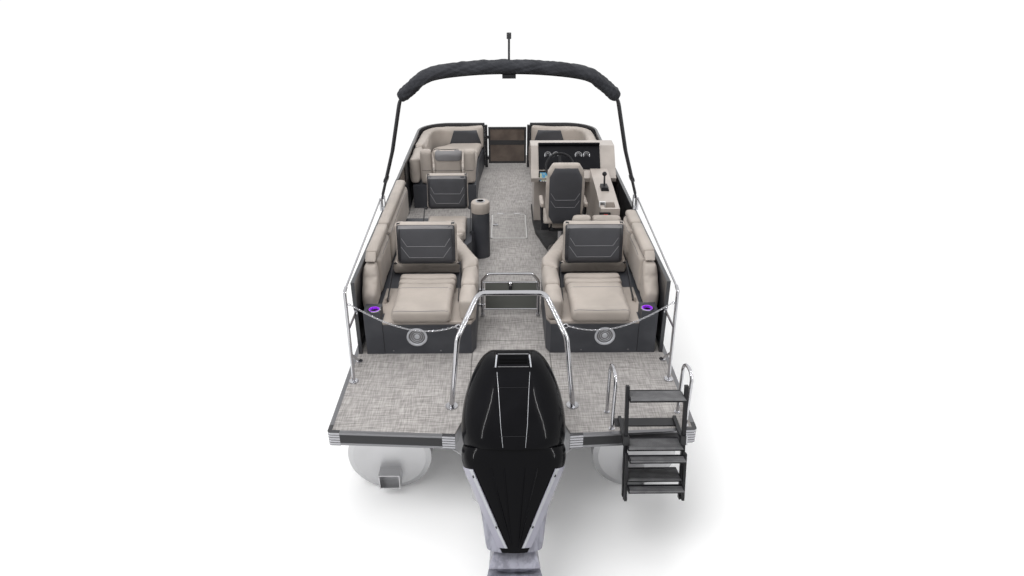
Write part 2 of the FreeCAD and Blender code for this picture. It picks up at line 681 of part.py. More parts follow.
def soft_plan(label, side, corners, z0, z1):
    """A plain cushion from its plan."""
    body = new_body(label)
    slab(body, "z", z0, z1, on_side(side, corners))
    return body


def stern_lounge(name, side):
    """The aft lounge: moulded base with a cup pod and a speaker recess, seats and arm bolster."""
    base = new_body(f"stern_base_{name}")
    slab(base, "z", DECK, SEAT, on_side(side, [
        ("seat_out", "seat_aft"), ("aisle_half + 34", "seat_aft"), ("aisle_half", "seat_aft + 80"),
        ("aisle_half", "seat_split"), ("aisle_half + 220", "seat_end"), ("seat_out", "seat_end")]))
    slab(base, "z", SEAT, f"{SEAT} + pod_high", on_side(side, rect(
        "seat_out - pod_wide", "seat_aft", "seat_out", "seat_aft + pod_len")))
    carve(base, "z", f"{SEAT} + 5", f"{SEAT} + pod_high",
          ("circle", f"{side} * (seat_out - pod_wide / 2 - 16)", "seat_aft + pod_len / 2", "cup_dia / 2"))
    carve(base, "y", "seat_aft", "seat_aft + 10",
          ("circle", f"{side} * 770", f"{DECK} + 160", "80"))
    swing_brackets(base, side, "seat_aft + 350", "pad_in", "seat_out - 160")
    node(base)

    seat_low, bolster = SEAT, "aisle_half + 133"
    pads = [soft_block(f"aft_pad_{name}", side, "pad_in", "pad_out", "seat_aft - 60",
                       "seat_split - 160", seat_low, CUSHION, "35"),
            soft_plan(f"arm_{name}", side, [
                ("aisle_half - 8", "seat_aft"), (bolster, "seat_aft"), (bolster, "seat_split + 20"),
                ("aisle_half + 300", "seat_end - 10"), ("aisle_half + 225", "seat_end"),
                ("aisle_half - 8", "seat_split")], seat_low, f"{CUSHION} + 70")]
    far = "seat_end - 20" if side < 0 else "seat_end - 130"
    pads.append(soft_plan(f"fore_pad_{name}", side, [
        (f"{bolster} + 18", "seat_split + 24"), ("pad_out + 100", "seat_split + 24"),
        ("pad_out + 100", far), (f"aisle_half + 318", far)], seat_low, CUSHION))
    if side > 0:
        pads.append(soft_block(f"cross_back_{name}", side, "aisle_half + 305", "pad_out + 100",
                               "seat_end - 125", "seat_end", seat_low, f"{DECK} + 700", "35"))
    gather(f"stern_cushions_{name}", pads)
    swing_back(name, side, "seat_aft + 350", "swing_reach", "pad_in", "seat_out - 160")


def swing_brackets(base, side, y, pad_in, back_out):
    """Two small plates on a base, each with the pin that a swing arm turns on."""
    for plate, pin in (((f"{pad_in} - 38", f"{pad_in} - 30"), (f"{pad_in} - 30", f"{pad_in} - 14")),
                       ((f"{back_out} + 25", f"{back_out} + 33"), (f"{back_out} + 9", f"{back_out} + 25"))):
        slab(base, "x", *span(side, *plate), rect(f"{y} - 28", SEAT, f"{y} + 28", f"{SWING_Z} + 24"))
        slab(base, "x", *span(side, *pin), ("circle", y, SWING_Z, "pin_dia / 2"))


def swing_back(name, side, y, reach, pad_in, back_out):
    """A backrest on two flat arms that swing over the seat, so that it faces either way."""
    length = f"sqrt(({reach}) ^ 2 + swing_rise ^ 2)"
    along, up = f"(({reach}) / {length})", f"(swing_rise / {length})"
    end_y, end_z = f"({y} + {reach})", f"({SWING_Z} + swing_rise)"
    w = "(arm_wide / 2)"
    arms = new_body(f"swing_arms_{name}")
    rows = ((f"{pad_in} - 16 - arm_thick", f"{pad_in} - 16", f"{pad_in} + 8"),
            (f"{back_out} + 11", f"{back_out} + 11 + arm_thick", f"{back_out} - 18"))
    for inner, outer, tip in rows:
        low, high = span(side, inner, outer)
        slab(arms, "x", low, high,
             [(f"{y} + {w} * {up}", f"{SWING_Z} - {w} * {along}"),
              (f"{end_y} + {w} * {up}", f"{end_z} - {w} * {along}"),
              (f"{end_y} - {w} * {up}", f"{end_z} + {w} * {along}"),
              (f"{y} - {w} * {up}", f"{SWING_Z} + {w} * {along}")])
        slab(arms, "x", low, high, ("circle", y, SWING_Z, w))
        slab(arms, "x", low, high, ("circle", end_y, end_z, w))
        carve(arms, "x", low, high, ("circle", y, SWING_Z, "pin_dia / 2 + pin_fit"))
        pin = (outer, tip) if tip.startswith(pad_in) else (tip, inner)
        slab(arms, "x", *span(side, *pin), ("circle", end_y, end_z, "pin_dia / 2"))
    node(arms)

    back = new_body(f"swing_back_{name}")
    low, high = span(side, f"{pad_in} - 10", back_out)
    foot, head = f"{CUSHION} + swing_lift", f"{CUSHION} + swing_lift + back_high"
    slab(back, "x", low, high,
         [(f"{end_y} - 35", foot), (f"{end_y} - 35 + back_thick + 10", foot),
          (f"{end_y} + 20 + back_thick", head), (f"{end_y} + 20", head)])
    soften(back, "30", lambda e: True)
    for near, far in ((f"{pad_in} - 10", f"{pad_in} + 10"), (f"{back_out} - 20", back_out)):
        carve(back, "x", *span(side, near, far), ("circle", end_y, end_z, "pin_dia / 2 + pin_fit"))
    node(back)


def mid_lounge():
    """The port lounge amidships: its base, the round cup pod and a seat with a swing back."""
    side = -1
    base = new_body("mid_base")
    slab(base, "z", DECK, SEAT, on_side(side, [
        ("seat_out", "seat_end + 1"), ("aisle_half + 221", "seat_end + 1"),
        ("mid_in - 12", "seat_end + 220"), ("mid_in - 12", "mid_end - 420"),
        ("mid_in - 70", "mid_end - 370"), ("mid_in - 70", "mid_end - 290"),
        ("mid_in - 12", "mid_end - 240"), ("mid_in - 12", "mid_end"), ("seat_out", "mid_end")]))
    slab(base, "z", DECK, f"{SEAT} + 200", ("circle", "-(mid_in - 100)", "mid_end - 330", "95"))
    swing_brackets(base, side, "mid_end - 450", "mid_in + 29", "mid_in + 490")
    node(base)
    pads = [soft_plan("mid_pad", side, [
        ("aisle_half + 330", "seat_end - 10"), ("pad_out + 100", "seat_end - 10"),
        ("pad_out + 100", "mid_end - 740"), ("mid_in + 480", "mid_end - 740"),
        ("mid_in + 480", "mid_end - 220"), ("mid_in + 29", "mid_end - 220"),
        ("mid_in + 29", "seat_end + 220"), ("aisle_half + 250", "seat_end + 60")],
        SEAT, CUSHION)]
    pod = new_body("mid_pod_top")
    slab(pod, "z", f"{SEAT} + 200", f"{SEAT} + 320", ("circle", "-(mid_in - 100)", "mid_end - 330", "98"))
    carve(pod, "z", f"{SEAT} + 240", f"{SEAT} + 320",
          ("circle", "-(mid_in - 100)", "mid_end - 330", "40"))
    soften(pod, "14", lambda e: abs(e.Vertexes[0].Point.z - value(f"{SEAT} + 320")) < 1)
    gather("mid_cushions", pads + [pod])
    swing_back("mid", side, "mid_end - 450", "swing_reach - 110", "mid_in + 29", "mid_in + 490")


def bow_lounge(name, side):
    """A bow lounge: base, seat, a back that bends round the bow corner and a cross back."""
    middle = "(beam / 2 - fence_inset)"
    bend_x, bend_y = f"{middle} - bow_bend", "bow_y - bow_bend"
    gate = "bow_gate_half + post_wide + 15"
    base = new_body(f"bow_base_{name}")
    slab(base, "z", DECK, SEAT, on_side(side, [
        ("seat_out", "bow_seat_y"), ("bow_seat_in", "bow_seat_y"), ("bow_seat_in", "bow_y - 700"),
        (gate, "bow_y - 40"), (bend_x, "bow_y - 40"), ("seat_out", bend_y)]))
    node(base)
    back_in = "(pad_out + 100)"
    seat = soft_plan(f"bow_pad_{name}", side, [
        (back_in, "bow_seat_y + 145"), ("bow_seat_in - 8", "bow_seat_y + 145"),
        ("bow_seat_in - 8", "bow_y - 700"), (gate, "bow_y - 160"), (bend_x, "bow_y - 160"),
        (back_in, f"{bend_y} - 20")], SEAT, f"{CUSHION} - 10")
    out = f"{middle} - 20"
    back = soft_plan(f"bow_back_{name}", side, [
        (out, "bow_seat_y + 5"), (out, bend_y), ("arc", bend_x, bend_y, "bow_bend - 20"),
        (bend_x, "bow_y - 20"), (f"{gate} - 10", "bow_y - 20"), (f"{gate} - 10", "bow_y - 145"),
        (bend_x, "bow_y - 145"), ("arc", bend_x, bend_y, "bow_bend - 145"),
        (f"{middle} - 145", bend_y), (f"{middle} - 145", "bow_seat_y + 5")],
        SEAT, f"{DECK} + bow_back_top")
    cross = soft_block(f"bow_cross_{name}", side, "bow_seat_in", f"{middle} - 150", "bow_seat_y + 5",
                       "bow_seat_y + 140", SEAT, f"{DECK} + coaming_top", "35")
    gather(f"bow_cushions_{name}", [seat, back, cross])


def coaming(name, side, end):
    """The padded coaming inside the fence; its stern end slopes down to the cup pod."""
    body = new_body(f"coaming_{name}")
    low, high = span(side, "beam / 2 - fence_inset - 18 - coaming_thick", "beam / 2 - fence_inset - 18")
    slab(body, "x", low, high,
         [("seat_aft + pod_len + 1", SEAT), (end, SEAT), (end, f"{DECK} + coaming_top - 90"),
          (f"{end} - 90", f"{DECK} + coaming_top"), ("seat_aft + 430", f"{DECK} + coaming_top"),
          ("seat_aft + pod_len + 1", f"{SEAT} + pod_high + 70")])
    node(body)


def seats():
    for name, side in SIDES:
        stern_lounge(name, side)
        bow_lounge(name, side)
    mid_lounge()
    coaming("port", -1, "mid_end + 110")
    coaming("starboard", 1, "seat_end + 60")


# ---------------------------------------------------------------- helm

STEP = f"({DECK} + step_high)"


def helm():
    """Raised step, console with its side pod, dash, throttle, wheel, pedestal and chair."""
    step = new_body("helm_step")
    slab(step, "z", DECK, STEP, [
        ("seat_out", "seat_end + 5"), ("aisle_half + 225", "seat_end + 5"), ("470", "helm_y - 110"),
        ("385", "helm_y + 220"), ("310", "helm_y + 560"), ("aisle_half", "helm_y + 900"),
        ("aisle_half", "bow_seat_y - 5"), ("seat_out", "bow_seat_y - 5")])
    node(step)

    console = new_body("console")
    slab(console, "x", "console_in", "seat_out",
         [("helm_y + 480", f"{DECK} + 655"), ("helm_y + 465", f"{DECK} + 700"),
          ("helm_y + 560", f"{DECK} + 770"), ("helm_y + 760", f"{DECK} + 985"),
          ("helm_y + 980", f"{DECK} + 985"), ("helm_y + 1300", f"{DECK} + 820"),
          ("helm_y + 1340", f"{DECK} + 655")])
    slab(console, "x", "aisle_half + 10", "seat_out",
         rect("helm_y + 860", STEP, "helm_y + 1340", f"{DECK} + 655"))
    slab(console, "x", "side_pod_in", "pad_out + 100",
         [("seat_end + 90", STEP), ("seat_end + 90", f"{DECK} + 700"),
          ("helm_y - 100", f"{DECK} + 748"), ("helm_y + 440", f"{DECK} + 800"),
          ("helm_y + 490", f"{DECK} + 800"), ("helm_y + 490", f"{DECK} + 654"),
          ("helm_y + 862", f"{DECK} + 654"), ("helm_y + 862", STEP)])
    carve(console, "z", f"{DECK} + 640", f"{DECK} + 760",
          rect("side_pod_in + 40", "seat_end + 115", "side_pod_in + 148", "seat_end + 230"))
    node(console)

    dash = new_body("dash")
    slab(dash, "x", "console_in + 85", "seat_out - 170",
         [("helm_y + 559.7", f"{DECK} + 770.4"), ("helm_y + 759.6", f"{DECK} + 985.4"),
          ("helm_y + 830", f"{DECK} + 985.4"), ("helm_y + 830", f"{DECK} + 1000"),
          ("helm_y + 735", f"{DECK} + 1026"), ("helm_y + 722", f"{DECK} + 1012"),
          ("helm_y + 745", f"{DECK} + 986"), ("helm_y + 551", f"{DECK} + 780")])
    node(dash)

    tilt = math.radians(30)
    centre = vector("helm_x", "helm_y + 455", f"{DECK} + 830")
    normal = Vector(0, -math.cos(tilt), math.sin(tilt))
    girth = value("wheel_dia") / 2
    wheel = Part.makeTorus(girth - 13, 13, centre, normal)
    parts = [Part.makeCylinder(42, 30, centre - normal * 30, normal)]
    for turn in (90, 210, 330):
        spoke = Part.makeBox(girth - 20, 30, 8, Vector(0, -15, -12))
        spoke.rotate(Vector(0, 0, 0), Vector(0, 0, 1), turn)
        spoke.Placement = FreeCAD.Placement(centre, Rotation(Vector(0, 0, 1), normal)) * spoke.Placement
        parts.append(spoke)
    shaft_end = centre - normal * 108
    parts.append(rod(centre - normal * 20, shaft_end, 36))
    node(made("steering_wheel", wheel.fuse(parts)))

    throttle = [Part.makeBox(70, 130, 34, vector("side_pod_in + 55", "helm_y - 95", f"{DECK} + 748"))]
    foot = vector("side_pod_in + 90", "helm_y - 30", f"{DECK} + 775")
    grip = foot + Vector(0, 38, 120)
    throttle += [rod(foot, grip, 20), Part.makeSphere(24, grip)]
    trim = Part.makeBox(80, 150, 60, vector("side_pod_in + 50", "helm_y - 105", f"{DECK} + 700"))
    solid = throttle[0].fuse(throttle[1:])
    node(made("throttle", solid.fuse(trim).cut(shape_of(console))))

    pedestal = new_body("helm_pedestal")
    slab(pedestal, "z", STEP, f"{STEP} + 14", ("circle", "helm_x", "helm_y", "140"))
    slab(pedestal, "z", f"{STEP} + 14", f"{DECK} + 318", ("circle", "helm_x", "helm_y", "38"))
    slab(pedestal, "z", f"{DECK} + 318", f"{DECK} + 330", ("circle", "helm_x", "helm_y", "95"))
    node(pedestal)

    chair = new_body("helm_chair")
    slab(chair, "z", f"{DECK} + 330.5", f"{DECK} + 350",
         rect("helm_x - 150", "helm_y - 140", "helm_x + 150", "helm_y + 150"))
    slab(chair, "z", f"{DECK} + 350", f"{DECK} + 470",
         rect("helm_x - 215", "helm_y - 205", "helm_x + 215", "helm_y + 235"))
    soften(chair, "70", lambda e: upright(e) and abs(abs(e.Vertexes[0].Point.x - value("helm_x")) - 215) < 1)
    slab(chair, "x", "helm_x - 195", "helm_x + 195",
         [("helm_y - 120", f"{DECK} + 440"), ("helm_y - 225", f"{DECK} + 440"),
          ("helm_y - 292", f"{DECK} + 1115"), ("helm_y - 200", f"{DECK} + 1115")])
    soften(chair, "55", lambda e: abs(e.Vertexes[0].Point.z - e.Vertexes[-1].Point.z) < 1
           and e.Vertexes[0].Point.z > value(f"{DECK} + 1100")
           and abs(e.Vertexes[0].Point.x - e.Vertexes[-1].Point.x) < 1)
    for side in (-1, 1):
        a, b = (("helm_x + 196", "helm_x + 252") if side > 0 else ("helm_x - 252", "helm_x - 196"))
        slab(chair, "x", a, b, [("helm_y - 195", f"{DECK} + 440"), ("helm_y - 120", f"{DECK} + 440"),
                                ("helm_y + 20", f"{DECK} + 590"), ("helm_y + 120", f"{DECK} + 600"),
                                ("helm_y + 125", f"{DECK} + 650"), ("helm_y - 205", f"{DECK} + 665")])
    node(chair)


# ---------------------------------------------------------------- floor hatch

def floor_hatch():
    """A framed lid let into the deck, and the two hinges along its bow edge."""
    x0, y0, x1, y1 = HATCH
    gap, pin_z = "hatch_gap", f"{DECK} + hatch_hinge_up"
    pin_y = f"{y1} - {gap} + 1"
    lid = new_body("floor_hatch")
    slab(lid, "z", f"{DECK} - deck_thick + 0.3", f"{DECK} + 2",
         rect(f"{x0} + {gap}", f"{y0} + {gap}", f"{x1} - {gap}", f"{y1} - {gap}"))
    soften(lid, "38", upright)
    carve(lid, "z", f"{DECK} - 1", f"{DECK} + 2",
          rect(f"{x0} + 22", f"{y0} + 22", f"{x1} - 22", f"{y1} - 22"))
    hinges = new_body("hatch_hinges")
    for low, high in ((f"{x0} + 80", f"{x0} + 140"), (f"{x1} - 140", f"{x1} - 80")):
        slab(lid, "x", low, high, rect(f"{pin_y} - 18", f"{DECK} + 1", pin_y, f"{DECK} + 4"))
        slab(lid, "x", low, high, ("circle", pin_y, pin_z, "5"))
        carve(lid, "x", low, high, ("circle", pin_y, pin_z, "2.5 + pin_fit"))
        slab(hinges, "x", f"{low} - 8", f"{high} + 8", ("circle", pin_y, pin_z, "2.5"))
        slab(hinges, "x", f"{low} - 8", f"{high} + 8", rect(f"{y1} + 4", DECK, f"{y1} + 32", f"{DECK} + 3"))
        for inner, outer in ((f"{low} - 8", f"{low} - 0.3"), (f"{high} + 0.3", f"{high} + 8")):
            slab(hinges, "x", inner, outer, ("circle", pin_y, pin_z, "3.4"))
            slab(hinges, "x", inner, outer,
                 [(pin_y, f"{pin_z} - 3"), (f"{y1} + 6", DECK), (f"{y1} + 6", f"{DECK} + 3"),
                  (pin_y, f"{pin_z} + 3")])
    node(lid)
    node(hinges)


# ---------------------------------------------------------------- chrome work

def tow_eye(side):
    """The middle of the ring that a chain hangs from, on the outer side of the tow bar."""
    bend = vector(f"{side} * (tow_foot - 60)", "tow_y + 50", f"{DECK} + 560")
    shoulder = vector(f"{side} * (tow_foot - 205)", "tow_y + 270", f"{DECK} + tow_top")
    return bend + (shoulder - bend) * 0.25 + Vector(side * (value("tow_dia") / 2 + 13), 0, 0)


def post_eye(side):
    """The middle of the ring on a stern post that the chain's other end hangs from."""
    return vector(f"{side} * (beam / 2 - 103)", "post_y + 7", f"{DECK} + chain_post")


def tow_bar():
    """The ski tow bar: one bent tube, a flange under each leg and an eye for the chain."""
    foot, y = "tow_foot", "tow_y"
    top = f"{DECK} + tow_top"
    path = [vector(f"-{foot}", y, f"{DECK} + 8"), vector(f"-{foot} + 60", f"{y} + 50", f"{DECK} + 560"),
            vector(f"-{foot} + 205", f"{y} + 270", top), vector(f"{foot} - 205", f"{y} + 270", top),
            vector(f"{foot} - 60", f"{y} + 50", f"{DECK} + 560"), vector(foot, y, f"{DECK} + 8")]
    bar = bent_tube(path, value("tow_dia"), 85)
    flanges = [Part.makeCylinder(46, 10, vector(f"{side} * {foot}", y, DECK)) for side in (-1, 1)]
    eyes = [Part.makeTorus(16, 4, tow_eye(side), Vector(0, 1, 0)) for side in (-1, 1)]
    node(made("tow_bar", bar.fuse(flanges + eyes)))


def stern_rails():
    """Corner posts with a brace, a short foot brace and a long stay to the fence's top."""
    tube = value("rail_dia")
    x = "(beam / 2 - 70)"
    foot = vector(x, "post_y", f"{DECK} + 8")
    top = vector("beam / 2 - 82", "post_y + 8", f"{DECK} + post_top")
    axis = (top - foot).normalize()
    post = bent_tube([foot, top - axis * 10, top + Vector(2, 60, -3)], tube, 9)
    pieces = [post, Part.makeCylinder(36, 10, vector(x, "post_y", DECK))]
    far = vector("beam / 2 - fence_inset", "fence_aft - 6", f"{DECK} + 400")
    pieces += [rod(foot + axis * 460, far, tube * 0.8),
               Part.makeBox(26, 8, 34, far + Vector(-13, -2, -17))]
    low = vector("beam / 2 - fence_inset - 10", "fence_aft - 110", f"{DECK} + 8")
    pieces += [rod(foot + axis * 240, low, tube * 0.8),
               Part.makeCylinder(26, 8, low - Vector(0, 0, 8))]
    stay_end = vector("beam / 2 - fence_inset + 25", "top_y - 53", f"{DECK} + top_foot - 12")
    pieces += [rod(top + Vector(2, 50, -3), stay_end, 16),
               Part.makeBox(16, 16, 16, stay_end + Vector(-8, -8, -8))]
    pieces.append(Part.makeTorus(9, 3, post_eye(1), Vector(0, 1, 0)))
    shape = pieces[0].fuse(pieces[1:])
    node(made("stern_rails", Part.makeCompound([shape, mirrored(shape)])))


def chains():
    """A slack chain across each side of the stern deck, as a plain tube along its line."""
    for name, side in SIDES:
        post, bar = post_eye(side) - Vector(side * 9, 0, 0), tow_eye(side) + Vector(side * 16, 0, 0)
        run = bar - post
        low = [post + Vector(run.x * along, run.y * along, -drop)
               for along, drop in ((0.31, 126), (0.78, 150))]
        node(made(f"chain_{name}", bent_tube([post] + low + [bar], value("chain_dia"), 200)))


# ---------------------------------------------------------------- canvas top

def top_mounts():
    """A clevis on each fence that the canvas top folds on, with a lug for the long stay."""
    body = new_body("top_mounts")
    pin_z = f"{DECK} + top_foot"
    for side in (-1, 1):
        a, b = span(side, "top_half - 17", "top_half + 17")
        slab(body, "z", FENCE_TOP, f"{FENCE_TOP} + 8", rect(a, "top_y - 46", b, "top_y + 46"))
        for low, high in (("top_half - 17", "top_half - 8.5"), ("top_half + 8.5", "top_half + 17")):
            slab(body, "x", *span(side, low, high),
                 [("top_y - 26", FENCE_TOP), ("top_y + 26", FENCE_TOP), ("top_y + 20", f"{pin_z} + 14"),
                  ("top_y - 20", f"{pin_z} + 14")])
        slab(body, "x", *span(side, "top_half - 9", "top_half + 9"), ("circle", "top_y", pin_z, "5"))
        slab(body, "x", *span(side, "top_half + 16", "top_half + 34"),
             rect("top_y - 45", f"{FENCE_TOP} + 1", "top_y - 15", f"{pin_z} - 2"))
    node(body)


def hoop_path(y):
    """The corners of one hoop, from the port foot over to the starboard one."""
    half = [("top_half", "top_foot + 30"), ("top_half - 130", "top_foot + 465"),
            ("top_half - 240", "top_foot + 965"), ("top_half - 520", "top_foot + 1195")]
    middle = ("0", "top_rise")
    port = [(f"-({x})", z) for x, z in half]
    return [vector(x, y, f"{DECK} + {z}") for x, z in port + [middle] + half[::-1]]


def canvas_top():
    """Three hoops that stand bunched on one foot, the canvas in its boot, and the light mast."""
    rows = [f"top_y + {i} * hoop_pitch" for i in (-1, 0, 1)]
    bend = 190

    def bunch(diameter):
        shapes = []
        for i, y in enumerate(rows):
            path = hoop_path(y)
            if i != 1:
                # the outer hoops end at a slider on the middle one
                path[0] = path[0] + (path[1] - path[0]) * 0.34
                path[-1] = path[-1] + (path[-2] - path[-1]) * 0.34
            shapes.append(bent_tube(path, diameter, bend))
        return shapes

    tube = value("hoop_dia")
    pieces = bunch(tube)
    for sign in (-1, 1):
        end = hoop_path("top_y")[0 if sign < 0 else -1]
        inward = hoop_path("top_y")[1 if sign < 0 else -2]
        slider = end + (inward - end) * 0.36
        along = (inward - end).normalize()
        block = Part.makeBox(36, 124, 34, Vector(-18, -62, -17))
        block.Placement = FreeCAD.Placement(slider, Rotation(Vector(0, 0, 1), along))
        pieces.append(block)
        pin = vector(f"{sign} * top_half", "top_y", f"{DECK} + top_foot")
        shoe = Part.makeBox(16, 34, 40, pin + Vector(-8, -17, 0))
        eye = Part.makeCylinder(17, 16, pin - Vector(8, 0, 0), Vector(1, 0, 0))
        hole = Part.makeCylinder(5 + value("pin_fit"), 16, pin - Vector(8, 0, 0), Vector(1, 0, 0))
        pieces.append(shoe.fuse(eye).cut(hole))
    crown = vector("0", "top_y", f"{DECK} + top_rise")
    mast = Part.makeCylinder(10, value("mast_high"), crown)
    lamp = Part.makeCylinder(21, 52, crown + Vector(0, 0, value("mast_high") - 10))
    frame = pieces[0].fuse(pieces[1:] + [mast, lamp])
    node(made("top_frame", frame))

    path = hoop_path("top_y")[2:-2]
    path[0] = path[0] + (path[1] - path[0]) * 0.06
    path[-1] = path[-1] + (path[-2] - path[-1]) * 0.06
    girth = value("boot_dia") / 2
    tubes = [bent_tube([p + Vector(0, shift, 0) for p in path], 2 * girth, bend) for shift in (-26, 26)]
    hollow = bunch(tube + 1) + [Part.makeCylinder(10.5, value("mast_high"), crown)]
    node(made("top_canvas", tubes[0].fuse(tubes[1]).cut(hollow)))


# ---------------------------------------------------------------- ladder

def tilted_body(label, x, y, z, axis, angle):
    """An empty body in a turned frame whose origin lies at the given place."""
    body = new_body(label)
    body.Placement = FreeCAD.Placement(vector(x, y, z), Rotation(Vector(*axis), value(angle)))
    body.setExpression("Placement.Base.y", bound(f"stern_y + ({y})"))
    body.setExpression("Placement.Base.z", bound(z))
    return body


def ladder():
    """A ladder that slides along its stiles in two guides, with a lower part that folds down."""
    frame = ("0", "-ladder_off", DECK, (1, 0, 0), "-ladder_lean")
    stiles = ("ladder_in", "ladder_out - stile_wide")

    mount = tilted_body("ladder_guides", *frame)
    for x in stiles:
        slab(mount, "z", "10", "74", rect(f"{x} - 10", "-stile_deep / 2 - 10",
                                          f"{x} + stile_wide + 10", "stile_deep / 2 + 10"))
        carve(mount, "z", "10", "74", rect(f"{x} - pin_fit", "-stile_deep / 2 - pin_fit",
                                           f"{x} + stile_wide + pin_fit", "stile_deep / 2 + pin_fit"))
    flat = new_body("ladder_plate")
    slab(flat, "z", DECK, f"{DECK} + 8", rect("ladder_in - 30", "45", "ladder_out - 10", "130"))
    for x in stiles:
        slab(flat, "z", f"{DECK} + 8", f"{DECK} + 30",
             rect(x, "-ladder_off + stile_deep / 2 + 11", f"{x} + stile_wide", "128"))
    tube = value("rail_dia")
    base, rise = vector("0", "0", DECK), Vector(0, 0, value("grab_high"))
    hoops = []
    for low, high in ((Vector(697, 22, 0), Vector(688, 214, 0)), (Vector(1222, 54, 0), Vector(1200, 206, 0))):
        hoops.append(bent_tube([base + low, base + low + rise, base + high + rise, base + high], tube,
                               value("grab_bend")))
        hoops += [Part.makeCylinder(22, 6, base + point) for point in (low, high)]
    grab = made("grab_hoops", Part.makeCompound([hoops[0].fuse(hoops[1:3]), hoops[3].fuse(hoops[4:])]))
    gather("ladder_mount", [weld("ladder_bracket", [mount, flat]), grab])

    body = tilted_body("ladder", *frame)
    axis_y = "-(stile_deep / 2 + 16)"
    for x, inner in zip(stiles, ("ladder_in + stile_wide", "ladder_out - stile_wide - 6")):
        slab(body, "z", "-ladder_low", "ladder_high",
             rect(x, "-stile_deep / 2", f"{x} + stile_wide", "stile_deep / 2"))
        slab(body, "x", inner, f"{inner} + 6", [
            (f"{axis_y} - 9", "-ladder_low - 9"), ("0", "-ladder_low - 9"), ("0", "-ladder_low + 40"),
            (f"{axis_y} - 9", "-ladder_low + 9")])
        slab(body, "x", f"{x} + 2", f"{x} + stile_wide - 2", ("circle", axis_y, "-ladder_low", "5"))
    slab(body, "x", "ladder_in + 2", "ladder_in + stile_wide + 1", ("circle", axis_y, "-ladder_low", "5"))
    slab(body, "x", "ladder_out - stile_wide - 1", "ladder_out - 2", ("circle", axis_y, "-ladder_low", "5"))
    for z in ("330", "-20", "-250"):
        slab(body, "z", z, f"{z} + 26", rect(f"{stiles[0]} + stile_wide - 1", "tread_deep * -0.3",
                                             f"{stiles[1]} + 1", "tread_deep * 0.7"))
    node(body)

    lower = tilted_body("ladder_lower", *frame)
    back = "(stile_deep + 32)"
    for x in stiles:
        slab(lower, "x", f"{x} + 3", f"{x} + stile_wide - 3",
             rect(f"-{back} - stile_deep / 2", "-ladder_low + 5", f"-{back} + stile_deep / 2",
                  "-ladder_low + fold_len"))
        slab(lower, "x", f"{x} + 3", f"{x} + stile_wide - 3", ("circle", axis_y, "-ladder_low", "10"))
        slab(lower, "x", f"{x} + 3", f"{x} + stile_wide - 3",
             rect(f"-{back} + stile_deep / 2 - 1", "-ladder_low + 5", axis_y, "-ladder_low + 10"))
        carve(lower, "x", f"{x} + 3", f"{x} + stile_wide - 3",
              ("circle", axis_y, "-ladder_low", "5 + pin_fit"))
    for z in ("90", "fold_len - 40"):
        slab(lower, "z", f"-ladder_low + {z}", f"-ladder_low + {z} + 26",
             rect(f"{stiles[0]} + stile_wide - 4", f"-{back} - stile_deep / 2 - 50",
                  f"{stiles[1]} + 4", f"-{back} + 10"))
    node(lower)


# ---------------------------------------------------------------- outboard

PIVOT_Z = f"({DECK} - transom_drop + pivot_up)"
PIVOT = ("0", "(transom_y + transom_thick - 10)", PIVOT_Z, (-1, 0, 0), "rest_tilt")


def clamp():
    """Two cheeks that hook over the transom, tied by the tilt tube."""
    body = new_body("engine_clamp")
    top, aft, fore = f"{DECK} - transom_drop", "transom_y", "transom_y + transom_thick"
    for side in (-1, 1):
        slab(body, "x", *span(side, "150", "185"),
             [(aft, f"{top} - 330"), (f"{aft} - 34", f"{top} - 330"), (f"{aft} - 65", f"{top} - 60"),
              (f"{aft} - 65", f"{top} + 40"), (aft, f"{top} + 85"), (f"{fore} + 20", f"{top} + 85"),
              (f"{fore} + 44", f"{top} + 40"), (f"{fore} + 44", f"{top} - 50"),
              (fore, f"{top} - 50"), (fore, top), (aft, top)])
    slab(body, "x", "-186", "186", ("circle", PIVOT[1], PIVOT_Z, "18"))
    slab(body, "x", "-151", "151", ("circle", f"{aft} - 17", f"{top} - 310", "13"))
    node(body)


def swivel():
    """The tilting bracket: two ears on the tilt tube and the bored steering tube behind them."""
    body = tilted_body("engine_swivel", *PIVOT)
    s = "-swivel_back"
    slab(body, "z", "-330", "19.7", ("circle", "0", s, "48"))
    for side in (-1, 1):
        slab(body, "x", *span(side, "112", "142"),
             [("-10", "33"), (f"{s} + 30", "19"), (f"{s} + 10", "-300"), (f"{s} + 50", "-300"),
              ("-48", "-64"), ("-34", "-10")])
        slab(body, "x", *span(side, "112", "142"), ("circle", "0", "0", "34"))
    slab(body, "x", "-113", "113", rect(f"{s} + 12", "-40", f"{s} + 40", "15"))
    slab(body, "x", "-113", "113", rect(f"{s} + 12", "-298", f"{s} + 40", "-240"))
    for side in (-1, 1):
        carve(body, "x", *span(side, "112", "142"), ("circle", "0", "0", "18 + pin_fit"))
    carve(body, "z", "-330", "19.7", ("circle", "0", s, "20 + pin_fit"))
    node(body)


def engine_ring(z, half, front, rear, panel):
    """A closed outline across the engine, in its own frame: a flat rear panel between two ridges,
    bulging sides that end in a crease at the front corners, and a flatter front."""
    depth = front - rear
    side = [(panel, 0), (0.62 * half, 0.06), (0.90 * half, 0.20), (half, 0.42), (0.95 * half, 0.68),
            (0.72 * half, 0.90), (0.50 * half, 0.97)]
    starboard = [Vector(x, rear + depth * along, z) for x, along in side]
    port = [Vector(-point.x, point.y, z) for point in reversed(starboard)]
    edges = []
    for run in (starboard, [starboard[-1], Vector(0, front, z), port[0]], port,
                [port[-1], Vector(0, rear - 6, z), starboard[0]]):
        curve = Part.BSplineCurve()
        curve.interpolate(run)
        edges.append(curve.toShape())
    return Part.Wire(edges)


